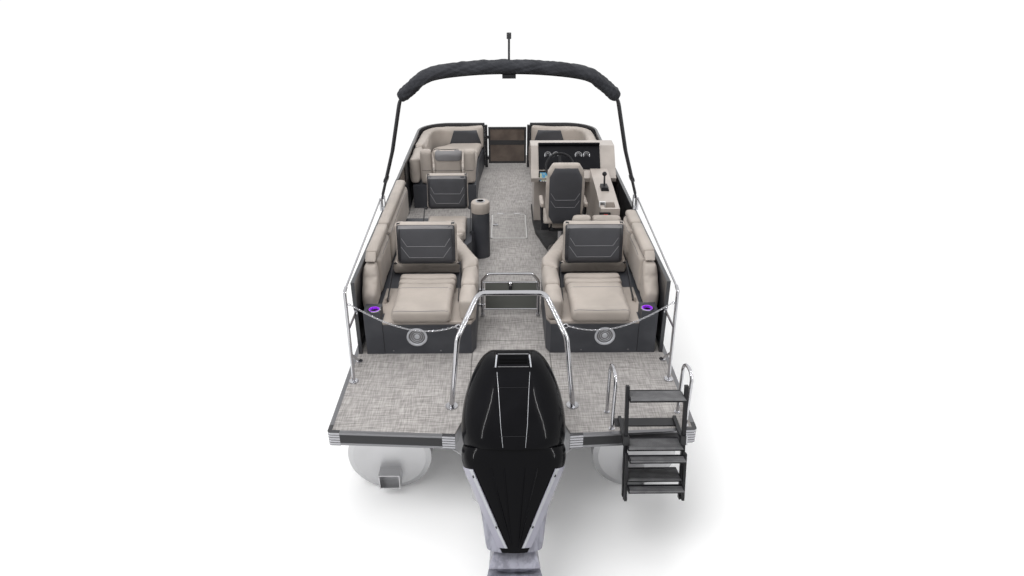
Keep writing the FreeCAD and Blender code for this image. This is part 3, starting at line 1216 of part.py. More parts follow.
def in_engine(shape):
    """A shape built in the engine's frame, moved to where it hangs tilted."""
    x, y, z, axis, angle = PIVOT
    turn = Rotation(Vector(*axis), value(angle))
    shape.Placement = FreeCAD.Placement(vector(x, y, z), turn) * shape.Placement
    return shape


def outboard():
    """The tilted outboard: clamp, swivel, cowl, apron, leg and propeller."""
    clamp()
    swivel()
    half = value("cowl_half")

    def skin(*rows):
        return Part.makeLoft([engine_ring(z, half * share, front, rear, panel)
                              for z, share, front, rear, panel in rows], True)

    cowl = skin((65, 0.97, 32, -705, 68), (200, 1, 34, -705, 74), (360, 0.93, 32, -640, 84),
                (530, 0.74, 18, -550, 98), (612, 0.56, -20, -490, 106), (640, 0.42, -70, -440, 100))
    wide, low, high = value("scoop_half"), value("scoop_low"), value("scoop_high")
    scoop = Part.makeBox(2 * wide, 46, high, Vector(-wide, -542, low))
    slats = [Part.makeBox(2 * wide + 4, 34, 7, Vector(-wide - 2, -535, low + high * share))
             for share in (0.24, 0.6)]
    node(made("engine_cowl", in_engine(cowl.cut(scoop).fuse(slats))))

    apron = skin((65, 0.95, -228, -690, 66), (-60, 0.95, -236, -690, 62), (-260, 0.69, -250, -672, 52),
                 (-440, 0.57, -290, -650, 44), (-540, 0.52, -320, -636, 40))
    slot = Part.makeBox(140, 250, 650, Vector(-70, -430, -560))
    room = Part.makeCylinder(66, 650, Vector(0, -value("swivel_back"), -560))
    node(made("engine_apron", in_engine(apron.cut([slot, room]))))

    leg = tilted_body("engine_leg", *PIVOT)
    s = "-swivel_back"
    slab(leg, "z", "20", "65", ("circle", "0", s, "62"))
    slab(leg, "z", "20", "65", rect("-62", "-430", "62", s))
    slab(leg, "z", "-380", "-330.3", ("circle", "0", s, "60"))
    slab(leg, "z", "-380", "-330.3", rect("-58", "-430", "58", s))
    slab(leg, "z", "-381", "21", ("circle", "0", s, "20"))
    slab(leg, "z", "-541", "40", rect("-70", "-430", "70", "-272"))
    loft(leg, "z", [("-541", rect("-118", "-560", "118", "-272")),
                    ("-640", rect("-152", "-600", "152", "-262")),
                    ("-690", rect("-40", "-520", "40", "-250"))], ruled=True)
    slab(leg, "z", "-702", "-690", [("-60", "-235"), ("-150", "-300"), ("-165", "-620"), ("165", "-620"),
                                    ("150", "-300"), ("60", "-235")])
    lens = [("0", "-225"), ("-24", "-290"), ("-26", "-400"), ("-12", "-448"), ("12", "-448"),
            ("26", "-400"), ("24", "-290")]
    slab(leg, "z", "-shaft_low - 10", "-695", lens)
    axis = ("0", "-shaft_low")
    loft(leg, "y", [("-450", ("circle", *axis, "62")), ("-300", ("circle", *axis, "58")),
                    ("-215", ("circle", *axis, "40")), ("-175", ("circle", *axis, "12"))])
    slab(leg, "y", "-615", "-449", ("circle", *axis, "14"))
    slab(leg, "x", "-5", "5", [("-250", "-shaft_low"), ("-440", "-shaft_low"), ("-455", "-1050"),
                               ("-330", "-1065")])
    node(leg)
    propeller()


def propeller():
    """A hub on the shaft with three blades of one pitch."""
    girth, depth = value("prop_dia") / 2, value("shaft_low")
    blade_rows = ((45, 100, 13), (80, 132, 10), (125, 150, 7), (165, 118, 5), (girth, 30, 3))
    sections = []
    for radius, chord, thick in blade_rows:
        lean = math.atan2(value("prop_pitch"), 2 * math.pi * radius)
        lens = ((-0.5, 0), (-0.25, 0.5), (0.25, 0.5), (0.5, 0), (0.25, -0.5), (-0.25, -0.5), (-0.5, 0))
        corners = [Vector(a * chord * math.cos(lean) - b * thick * math.sin(lean),
                          a * chord * math.sin(lean) + b * thick * math.cos(lean), radius)
                   for a, b in lens]
        sections.append(Part.makePolygon(corners))
    blade = Part.makeLoft(sections, True, False)
    blades = []
    for turn in (0, 120, 240):
        copy = blade.copy()
        copy.rotate(Vector(0, 0, 0), Vector(0, 1, 0), turn)
        blades.append(copy)
    hub = Part.makeCone(56, 46, 150, Vector(0, 72, 0), Vector(0, -1, 0))
    bore = Part.makeCylinder(14 + value("pin_fit"), 160, Vector(0, 75, 0), Vector(0, -1, 0))
    whole = hub.fuse(blades).cut(bore)
    whole.Placement = FreeCAD.Placement(Vector(0, -527, -depth), Rotation())
    node(made("propeller", in_engine(whole)))


# ---------------------------------------------------------------- everything

def check_pieces():
    """Stops before anything is written if a feature or a piece is broken."""
    doc.recompute()
    for thing in doc.Objects:
        if {"Invalid", "Error"} & set(thing.State):
            raise RuntimeError(f"{thing.Label} ({thing.Name}) is {thing.State}")
    labels = [piece.Label for piece in NODES]
    if len(labels) != len(set(labels)):
        raise RuntimeError("two pieces share a label")
    for piece in NODES:
        if piece.Shape.isNull() or not piece.Shape.isValid() or piece.Shape.Volume <= 0:
            raise RuntimeError(f"{piece.Label} has no sound shape")


for build in (hull, crossmembers, deck, rub_rails, corner_caps, motor_well, fences, stern_gate, seats,
              helm, floor_hatch, tow_bar, stern_rails, chains, top_mounts, canvas_top, ladder,
              outboard):
    build()
check_pieces()
os.makedirs("parts", exist_ok=True)
for piece in NODES:
    piece.Shape.exportStep(f"parts/{piece.Label}.step")
print(len(NODES), "pieces written")
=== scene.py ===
"""Pontoon boat: finishes, upholstery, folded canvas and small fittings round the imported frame."""
import math

import bmesh
import bpy
from mathutils import Matrix, Vector, noise
from mathutils.bvhtree import BVHTree


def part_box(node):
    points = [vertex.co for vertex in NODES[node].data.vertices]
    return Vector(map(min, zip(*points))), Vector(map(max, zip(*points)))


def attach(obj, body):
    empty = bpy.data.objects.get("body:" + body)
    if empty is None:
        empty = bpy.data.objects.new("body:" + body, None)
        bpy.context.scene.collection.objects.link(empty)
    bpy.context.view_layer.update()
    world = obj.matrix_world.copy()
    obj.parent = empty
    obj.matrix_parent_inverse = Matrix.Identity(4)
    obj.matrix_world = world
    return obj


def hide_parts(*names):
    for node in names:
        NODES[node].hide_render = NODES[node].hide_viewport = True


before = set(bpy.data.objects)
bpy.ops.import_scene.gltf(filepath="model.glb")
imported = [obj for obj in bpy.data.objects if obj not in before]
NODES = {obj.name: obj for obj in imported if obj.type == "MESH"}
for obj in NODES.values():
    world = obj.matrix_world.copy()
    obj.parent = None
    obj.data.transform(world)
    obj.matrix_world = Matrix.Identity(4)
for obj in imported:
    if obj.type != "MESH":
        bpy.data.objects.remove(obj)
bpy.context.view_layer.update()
BOAT = "boat"
UP, AFT = Vector((0, 0, 1)), Vector((0, -1, 0))

# ---------------------------------------------------------------- places, worked out from the frame

DECK_LOW, DECK_HIGH = (Vector(corner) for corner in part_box("deck"))
DECK = DECK_HIGH.z
STERN = DECK_LOW.y
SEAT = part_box("mid_cushions")[0][2]
TILT = math.radians(32.0)
ENGINE_UP = Vector((0, math.sin(TILT), math.cos(TILT)))
ENGINE_FORE = Vector((0, math.cos(TILT), -math.sin(TILT)))
ENGINE_PIVOT = Vector((0, STERN - 0.12, DECK - 0.005))
LADDER_LEAN = math.radians(14.0)
LADDER_FOOT = Vector((0, STERN - 0.155, DECK))
# the engine's V, as its flank's slope and half its width at the pivot
V_SLOPE, V_HALF = 0.494, 0.335
SCREEN = Vector((0.409, STERN + 3.55, DECK + 0.718))
# across the boat: the ladder's two stiles, and the black bracket between the grab hoops
STILES = (0.753, 1.170)
STILE_WIDE = 0.026
HOOP_GAP = (0.720, 1.171)
CHAIN_LINE = ((1.183, -2.178, 1.459), (0.939, -2.248, 1.333), (0.570, -2.355, 1.309), (0.397, -2.405, 1.402))
SIDES = (("port", -1), ("starboard", 1))


# ---------------------------------------------------------------- shader maths

class Wire:
    """A node's output, with the sums that the finishes are written in."""

    def __init__(self, tree, socket):
        self.tree, self.socket = tree, socket

    def sum(self, operation, *values):
        """A Math node over numbers and wires."""
        node = self.tree.nodes.new("ShaderNodeMath")
        node.operation = operation
        for slot, value in zip(node.inputs, values):
            plug(self.tree, slot, value)
        return Wire(self.tree, node.outputs[0])

    def __add__(self, other):
        return self.sum("ADD", self, other)

    def __sub__(self, other):
        return self.sum("SUBTRACT", self, other)

    def __rsub__(self, other):
        return self.sum("SUBTRACT", other, self)

    def __mul__(self, other):
        return self.sum("MULTIPLY", self, other)

    __radd__, __rmul__ = __add__, __mul__

    def __abs__(self):
        return self.sum("ABSOLUTE", self)

    def most(self, *others):
        """The highest of this value and some others."""
        found = self
        for other in others:
            found = self.sum("MAXIMUM", found, other)
        return found

    def wave(self, pitch):
        """A sine of this value, from 0 to 1, that repeats at every pitch."""
        return self.sum("SINE", self * (2 * math.pi / pitch)) * 0.5 + 0.5

    def step(self, low, high):
        """0 below low and 1 above high, smooth between; the other way round if low is above high."""
        flip = low > high
        low, high = sorted((low, high))
        node = self.tree.nodes.new("ShaderNodeMapRange")
        node.interpolation_type = "SMOOTHSTEP"
        plug(self.tree, node.inputs["Value"], self)
        node.inputs["From Min"].default_value = low
        node.inputs["From Max"].default_value = high
        node.inputs["To Min"].default_value = 1.0 if flip else 0.0
        node.inputs["To Max"].default_value = 0.0 if flip else 1.0
        return Wire(self.tree, node.outputs["Result"])

    def within(self, low, high, soft=0.001):
        """1 between two values and 0 outside them."""
        return self.step(low - soft, low + soft) * self.step(high + soft, high - soft)


def plug(tree, slot, value):
    """Sets a socket to a number or a colour, or links a wire to it."""
    if isinstance(value, Wire):
        tree.links.new(value.socket, slot)
    elif hasattr(slot.default_value, "__len__") and not hasattr(value, "__len__"):
        slot.default_value = (value,) * len(slot.default_value)
    elif hasattr(value, "__len__") and len(value) == 3 and len(slot.default_value) == 4:
        slot.default_value = (*value, 1.0)
    else:
        slot.default_value = value


class Finish:
    """One material and the nodes behind it. Its pattern lies in the boat's own metres."""

    def __init__(self, name, colour, rough, metal=0.0, **fixed):
        self.material = bpy.data.materials.new(name)
        self.material.use_nodes = True
        self.tree = self.material.node_tree
        self.shader = self.tree.nodes["Principled BSDF"]
        self.feed("Base Color", colour)
        self.feed("Roughness", rough)
        self.feed("Metallic", metal)
        for socket, value in fixed.items():
            self.feed(socket.replace("_", " "), value)

    def feed(self, socket, value):
        plug(self.tree, self.shader.inputs[socket], value)

    def tint(self, mask, low, high):
        """The base colour: low where the mask is 0, and high where it is 1."""
        self.feed("Base Color", self.blend(mask, low, high))

    def rough(self, value):
        self.feed("Roughness", value)

    def node(self, kind, settings=None, sockets=None, output=0):
        """Adds a node: its settings first, then its sockets, then the output that is asked for."""
        node = self.tree.nodes.new(kind)
        for name, value in (settings or {}).items():
            if name == "stops":
                ramp = node.color_ramp
                while len(ramp.elements) < len(value):
                    ramp.elements.new(0.5)
                for element, (place, tone) in zip(ramp.elements, value):
                    element.position = place
                    element.color = (*tone, 1.0)
            else:
                setattr(node, name, value)
        for name, value in (sockets or {}).items():
            plug(self.tree, node.inputs[name], value)
        return Wire(self.tree, node.outputs[output])

    def place(self, stretch=(1, 1, 1)):
        """The piece's own coordinates, scaled along each axis."""
        point = self.node("ShaderNodeTexCoord", output="Object")
        return self.node("ShaderNodeMapping", None, {"Vector": point, "Scale": stretch})

    def axes(self):
        """x, y and z of the piece's own coordinates."""
        point = self.node("ShaderNodeTexCoord", output="Object")
        split = self.tree.nodes.new("ShaderNodeSeparateXYZ")
        plug(self.tree, split.inputs[0], point)
        return [Wire(self.tree, output) for output in split.outputs]

    def noise(self, scale, stretch=(1, 1, 1), detail=3.0, rough=0.5):
        return self.node("ShaderNodeTexNoise", None, {"Vector": self.place(stretch), "Scale": scale,
                                                      "Detail": detail, "Roughness": rough})

    def cells(self, scale):
        return self.node("ShaderNodeTexVoronoi", None, {"Vector": self.place(), "Scale": scale}, "Distance")

    def smears(self):
        """Faint smears, as an addition to the roughness."""
        return self.noise(9.0, detail=4).step(0.35, 0.8) * 0.1

    def blend(self, mask, low, high):
        """The low colour where the mask is 0, and the high one where it is 1."""
        node = self.tree.nodes.new("ShaderNodeMix")
        node.data_type = "RGBA"
        plug(self.tree, node.inputs[0], mask)
        plug(self.tree, node.inputs[6], low)
        plug(self.tree, node.inputs[7], high)
        return Wire(self.tree, node.outputs[2])

    def relief(self, *layers):
        """Bumps, each a height wire, its strength and its depth in metres. It gives back the material."""
        normal = None
        for height, strength, depth in layers:
            sockets = {"Height": height, "Strength": strength, "Distance": depth}
            if normal is not None:
                sockets["Normal"] = normal
            normal = self.node("ShaderNodeBump", None, sockets)
        self.feed("Normal", normal)
        return self.material


# ---------------------------------------------------------------- finishes

def shade(colour, factor, lift=0.0):
    """A colour made darker or lighter."""
    return tuple(min(1.0, factor * c + lift) for c in colour)


def vinyl(name, colour, rough=0.48):
    """Marine vinyl with a fine pebble grain, a soft sheen and slight handling marks."""
    f = Finish(name, colour, rough, Specular_IOR_Level=0.4, Sheen_Weight=0.08)
    mottle = f.noise(3.0, detail=4)
    f.tint(mottle.step(0.3, 0.7), shade(colour, 0.86), shade(colour, 1.08))
    f.rough(mottle * 0.12 + (rough - 0.06))
    return f.relief((f.cells(420.0), 0.22, 0.0006), (f.noise(14.0, detail=2), 0.12, 0.004))


def brushed(name, colour, rough, along=(1, 0.03, 1)):
    """Mill-finish or brushed metal with fine lines along one axis and faint cloudy wear."""
    f = Finish(name, colour, rough, 1.0)
    line = f.noise(260.0, stretch=along, detail=2)
    cloud = f.noise(2.2, detail=5)
    f.tint(cloud.step(0.3, 0.75) * 0.7 + line * 0.3, shade(colour, 0.78), colour)
    f.rough(cloud * 0.16 + line * 0.1 + (rough - 0.12))
    return f.relief((line, 0.06, 0.0006))


def polished(name, colour, rough=0.07):
    """Polished stainless tube."""
    f = Finish(name, colour, rough, 1.0)
    f.rough(f.smears() + rough)
    return f.relief((f.noise(40.0), 0.02, 0.001))


def moulded(name, colour, rough=0.45, grain=500.0, coat=0.0, shine=0.5):
    """Moulded plastic or gel coat: a fine leather grain and slightly uneven gloss."""
    f = Finish(name, colour, rough, Coat_Weight=coat, Coat_Roughness=0.08, Specular_IOR_Level=shine)
    cloud = f.noise(5.0, detail=4)
    f.tint(cloud.step(0.35, 0.7), colour, shade(colour, 1.15, 0.003))
    f.rough(cloud * 0.15 + (rough - 0.07))
    return f.relief((f.cells(grain), 0.1, 0.0004))


def woven(f):
    """The fine warp and weft of the deck's vinyl, as one height."""
    warp = f.noise(120.0, stretch=(1, 0.07, 1), detail=2)
    weft = f.noise(120.0, stretch=(0.07, 1, 1), detail=2)
    return warp.step(0.3, 0.7) * 0.42 + weft.step(0.3, 0.7) * 0.58


def line_at(distance):
    """1 within half a joint's width of a line and 0 outside it."""
    return distance.step(0.0035, 0.0018)


def woven_deck():
    """Woven vinyl flooring: fine flecks of warp and weft, and the joints between its lengths."""
    f = Finish("woven_deck", (0.3, 0.28, 0.27), 0.72)
    thread = woven(f)
    x, y, _ = f.axes()
    cross = x.wave(0.006) * y.wave(0.006)
    tone = f.node("ShaderNodeValToRGB",
                  {"stops": ((0.0, (0.16, 0.150, 0.146)), (0.42, (0.30, 0.283, 0.273)),
                             (0.7, (0.40, 0.380, 0.366)), (1.0, (0.52, 0.498, 0.48)))},
                  {"Fac": thread * 0.88 + cross * 0.12})
    cloud = f.noise(2.2, detail=4).step(0.35, 0.75)
    worn = f.blend(cloud * 0.32, tone, (0.25, 0.24, 0.236))
    aisle = line_at(abs(abs(x) - 0.322)) * y.step(STERN + 1.2, STERN + 1.19)
    joint = line_at(abs(y - (STERN + 1.235))) * abs(x).step(0.46, 0.455)
    seam = aisle.most(joint)
    f.tint(seam, worn, (0.05, 0.046, 0.044))
    f.rough(thread * -0.12 + 0.8)
    return f.relief((thread + cross * 0.4, 0.3, 0.001), (seam * -1.0, 0.6, 0.003))


def hatch_lid():
    """The floor hatch: the deck's weave let into a pale edge frame."""
    f = Finish("hatch_lid", (0.3, 0.28, 0.27), 0.6)
    low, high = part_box("floor_hatch")
    x, y, _ = f.axes()
    thread = woven(f)
    weave = f.blend(thread, (0.20, 0.19, 0.185), (0.46, 0.44, 0.425))
    frame_wide = 0.016
    past = [abs(wire - (low[i] + high[i]) / 2) - ((high[i] - low[i]) / 2 - frame_wide)
            for i, wire in enumerate((x, y))]
    rim = past[0].most(past[1]).step(-0.001, 0.001)
    f.tint(rim, weave, (0.52, 0.51, 0.50))
    f.rough(rim * -0.25 + 0.7)
    return f.relief((thread * (1 - rim), 0.3, 0.001), (rim, 0.5, 0.003))


def base_shell():
    """Moulded charcoal seat bases, with the beige liner of the seat wells on top."""
    f = Finish("base_shell_charcoal", (0.05, 0.052, 0.06), 0.5, Specular_IOR_Level=0.35)
    x, y, z = f.axes()
    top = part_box("stern_base_port")[1][2]
    inner = abs(x).step(1.045, 1.040) * y.step(STERN + 0.962, STERN + 0.966)
    outer = abs(x).step(1.095, 1.090) * y.step(STERN + 1.18, STERN + 1.19)
    well = inner.most(outer) * y.step(STERN + 1.64, STERN + 1.63) * z.step(top - 0.12, top - 0.1)
    cloud = f.noise(5.0, detail=4).step(0.35, 0.7)
    plain = f.blend(cloud, (0.046, 0.048, 0.056), (0.060, 0.062, 0.070))
    f.tint(well, plain, BEIGE)
    f.rough(cloud * 0.12 + 0.44)
    return f.relief((f.cells(300.0), 0.1, 0.0004))


def canvas_cloth(name, colour):
    """Woven acrylic canvas."""
    f = Finish(name, colour, 0.86, Sheen_Weight=0.04, Sheen_Roughness=0.5, Specular_IOR_Level=0.2)
    x, y, z = f.axes()
    weave = (x + z).wave(0.0032) * (y + z * 0.7).wave(0.0032)
    fade = f.noise(5.0, detail=5).step(0.3, 0.75)
    f.tint(fade * 0.7 + weave * 0.15, colour, shade(colour, 1.7, 0.01))
    return f.relief((weave, 0.3, 0.0008), (f.noise(30.0, detail=4), 0.25, 0.006))


def rail_extrusion():
    """The deck's edge rail: bright lips above and below a black insert."""
    f = Finish("rail_extrusion", (0.5, 0.5, 0.52), 0.3, 1.0)
    _, _, z = f.axes()
    low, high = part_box("rub_rails")[0][2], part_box("rub_rails")[1][2]
    insert = z.within(low + 0.0195, high - 0.0155, 0.0015)
    line = f.noise(200.0, stretch=(0.02, 0.02, 1.0))
    f.tint(insert, (0.24, 0.24, 0.25), (0.018, 0.018, 0.02))
    f.feed("Metallic", 1 - insert)
    f.rough(line * 0.15 + 0.34 + insert * 0.15)
    return f.relief((insert * -1.0, 0.6, 0.004), (line, 0.08, 0.0005))


def deep_gloss(name, colour):
    """Painted plastic under a clear coat, with a little dust."""
    f = Finish(name, colour, 0.22, Coat_Weight=0.11, Coat_Roughness=0.03, Specular_IOR_Level=0.02)
    haze = f.noise(4.0, detail=5)
    f.tint(haze.step(0.3, 0.8) * 0.5, colour, shade(colour, 2.2, 0.002))
    f.rough(haze * 0.12 + 0.14)
    return f.relief((f.noise(2.5), 0.01, 0.01))


def wrapped(name, dark, film, share):
    """Engine plastic: dark gloss in a V behind, and a pale hazy film that clings in small creases, painted
    darker down in its creases as shade.
    """
    f = Finish(name, dark, 0.3, Coat_Weight=0.11, Coat_Roughness=0.05, Specular_IOR_Level=0.03)
    x, y, z = f.axes()
    up = (y - ENGINE_PIVOT.y) * math.sin(TILT) + (z - ENGINE_PIVOT.z) * math.cos(TILT)
    haze = f.noise(5.0, stretch=(1, 1, 0.35), detail=5)
    crease = f.noise(16.0, stretch=(1.4, 1.4, 0.4), detail=3, rough=0.6)
    # the film is painted darker where its crease bumps sink, as shade, with some random haze on top
    pale = f.blend(crease.step(0.35, 0.62) * 0.7 + haze.step(0.3, 0.7) * 0.3, shade(film, 0.55), film)
    outside = (abs(x) - up * V_SLOPE - V_HALF).step(-0.004, 0.004) if share else haze * 0 + 1
    f.tint(outside, dark, pale)
    f.rough(outside * 0.2 + crease * 0.12 + 0.12)
    return f.relief((crease * outside, 0.35, 0.006), (haze, 0.05, 0.01))


def bright_and_black(name):
    """Polished grab hoops either side of the ladder's black bracket."""
    f = Finish(name, (0.5, 0.5, 0.52), 0.2, 1.0)
    x, _, _ = f.axes()
    black = x.within(*HOOP_GAP)
    f.tint(black, (0.55, 0.55, 0.57), (0.018, 0.018, 0.020))
    f.feed("Metallic", 1 - black)
    f.rough(f.smears() + black * 0.3 + 0.12)
    return f.relief((f.noise(300.0), 0.05, 0.0005))


def gate_sheet(name, axis, low, high, top):
    """A gate's black frame round two smoked panels."""
    f = Finish(name, (0.02, 0.02, 0.022), 0.3, Coat_Weight=0.4, Coat_Roughness=0.05)
    axes = f.axes()
    run, z = axes[axis], axes[2]
    base = DECK + 0.06
    tall = top - base
    panes = z.within(base + 0.03, base + 0.52 * tall) + z.within(base + 0.64 * tall, top - 0.03)
    panel = panes * run.within(low, high)
    haze = f.noise(5.0, detail=3)
    brown = f.blend(haze.step(0.3, 0.7), (0.075, 0.055, 0.045), (0.12, 0.092, 0.075))
    f.tint(panel, (0.02, 0.02, 0.022), brown)
    f.rough(haze * 0.15 + 0.16)
    return f.relief((f.noise(500.0), 0.06, 0.0004))


def gate_tubes():
    """The stern gate: polished tubes round a thin smoked panel."""
    f = Finish("stern_gate", (0.5, 0.5, 0.52), 0.1, 1.0)
    low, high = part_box("stern_gate")
    x, y, z = f.axes()
    panel = abs(y - (low[1] + high[1]) / 2).step(0.0050, 0.0045) * abs(x).step(0.236, 0.234)
    panel = panel * z.step(DECK + 0.070, DECK + 0.072)
    f.tint(panel, (0.52, 0.52, 0.54), (0.105, 0.11, 0.10))
    f.feed("Metallic", 1 - panel)
    f.rough(f.smears() + 0.1)
    return f.relief((f.noise(40.0), 0.02, 0.001))


def cast_cap():
    """Polished corner castings with fine ribs round their flanks, painted dark in the bottoms of the ribs as
    shade.
    """
    f = Finish("cast_cap", (0.42, 0.42, 0.44), 0.18, 1.0)
    _, _, z = f.axes()
    rib = z.wave(0.022)
    cloud = f.noise(6.0, detail=4)
    # the grooves between the ribs are painted dark as shade
    f.tint(rib.step(0.0, 0.25), (0.10, 0.10, 0.105), (0.40, 0.40, 0.42))
    f.rough(cloud * 0.12 + 0.14)
    return f.relief((rib.step(0.0, 0.4), 0.7, 0.003))


def lit_screen():
    """A navigation screen with a plain plotted area, a side column and rows of keys."""
    f = Finish("screen", (0.01, 0.01, 0.012), 0.2, Emission_Strength=0.9)
    x, _, z = f.axes()
    map_tone = f.noise(26.0, detail=3).step(0.47, 0.53)
    column = x.wave(0.03).step(0.1, 0.4) * z.wave(0.02).step(0.1, 0.4)
    plotted = f.blend(map_tone, (0.10, 0.30, 0.48), (0.44, 0.46, 0.32))
    f.feed("Emission Color", f.blend(x.step(SCREEN.x + 0.018, SCREEN.x + 0.020), plotted,
                                     f.blend(column, (0.10, 0.12, 0.16), (0.50, 0.55, 0.60))))
    f.rough(f.noise(8.0) * 0.1 + 0.1)
    return f.relief((f.noise(300.0), 0.02, 0.0002))


def tread_rubber():
    """Dark grey rubber of the tread plates."""
    f = Finish("tread_rubber", (0.17, 0.17, 0.175), 0.55)
    wear = f.noise(14.0, detail=4)
    f.tint(wear.step(0.3, 0.75), (0.13, 0.13, 0.135), (0.20, 0.20, 0.205))
    f.rough(wear * 0.2 + 0.5)
    return f.relief((f.cells(260.0), 0.3, 0.0008))


def ribbed_mat():
    """Ribbed rubber mat on the helm's step."""
    f = Finish("ribbed_mat", (0.02, 0.02, 0.021), 0.7)
    x, _, _ = f.axes()
    rib = x.wave(0.012)
    wear = f.noise(12.0, detail=4)
    f.tint(wear.step(0.3, 0.8), (0.016, 0.016, 0.017), (0.04, 0.04, 0.042))
    return f.relief((rib, 0.5, 0.002))


def glow(name, colour, strength):
    """A small lamp behind a lens."""
    f = Finish(name, colour, 0.3, Emission_Strength=strength)
    f.feed("Emission Color", colour)
    return f.relief((f.noise(60.0), 0.05, 0.001))


BEIGE = (0.400, 0.355, 0.318)
CHARCOAL = (0.052, 0.053, 0.060)
FINISHES = {
    "beige": vinyl("beige_vinyl", BEIGE),
    "charcoal": vinyl("charcoal_vinyl", CHARCOAL, 0.42),
    "base": base_shell(),
    "hatch": hatch_lid(),
    "shell": moulded("console_gel_coat", (0.37, 0.33, 0.30), 0.35, 300.0, 0.4),
    "tube": brushed("tube_aluminium", (0.60, 0.60, 0.61), 0.34),
    "frame": brushed("frame_aluminium", (0.62, 0.62, 0.64), 0.3, (0.03, 1, 1)),
    "cap": cast_cap(),
    "chrome": polished("polished_stainless", (0.52, 0.52, 0.54), 0.10),
    "hoops": bright_and_black("hoops_and_bracket"),
    "bow_gate": gate_sheet("bow_gate_sheet", 0, -0.25, 0.25, DECK + 0.6),
    "side_gate": gate_sheet("side_gate_sheet", 1, STERN + 3.6, STERN + 4.16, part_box("side_gate")[1][2]),
    "ash": vinyl("ash_vinyl", (0.19, 0.185, 0.19)),
    "charcoal_dark": vinyl("dark_vinyl", (0.022, 0.022, 0.026)),
    "screen": lit_screen(),
    "tread": tread_rubber(),
    "film": wrapped("engine_film", (0.004, 0.004, 0.005), (0.42, 0.42, 0.49), 0),
    "strip": moulded("strip_face", (0.34, 0.335, 0.40), 0.35, 700.0, 0.3),
    "dash": moulded("dash_black", (0.007, 0.007, 0.009), 0.3, shine=0.1),
    "stern_gate": gate_tubes(),
    "red": moulded("red_lever", (0.42, 0.02, 0.02), 0.4),
    "deck": woven_deck(),
    "rail": rail_extrusion(),
    "skin": moulded("fence_paint", (0.026, 0.027, 0.031), 0.3, 700.0, 0.4, 0.35),
    "black": moulded("black_plastic", (0.012, 0.012, 0.014), 0.42, shine=0.28),
    "satin": moulded("satin_black_metal", (0.018, 0.018, 0.021), 0.34, 700.0, 0.2, 0.3),
    "mat": ribbed_mat(),
    "canvas": canvas_cloth("folded_canvas", (0.022, 0.023, 0.027)),
    "cowl": deep_gloss("cowl_gloss", (0.0035, 0.0035, 0.0045)),
    "apron": wrapped("apron_gloss", (0.004, 0.004, 0.005), (0.42, 0.42, 0.49), 1),
    # silver trim, also laid on the cowl's ridges as painted reflection streaks
    "silver": moulded("silver_strip", (0.46, 0.47, 0.50), 0.3, 700.0, 0.6),
    "prop": brushed("blade_steel", (0.42, 0.42, 0.44), 0.22, (1, 1, 1)),
    "thread": moulded("stitching", (0.16, 0.16, 0.17), 0.8),
    "lamp": glow("purple_lens", (0.26, 0.03, 0.60), 1.1),
    "white": moulded("white_plastic", (0.75, 0.75, 0.75), 0.4),
}


def paint(piece, *finishes):
    """Gives a piece its finishes, in the order of its faces' material numbers."""
    piece.data.materials.clear()
    for finish in finishes:
        piece.data.materials.append(FINISHES[finish])
    return piece


# ---------------------------------------------------------------- making meshes

PAD_PRESSURE, PAD_FRAMES = 4.0, 14
PAD_EASE, PAD_LIFT, SEAM_GAP = 0.004, 0.0005, 0.0012


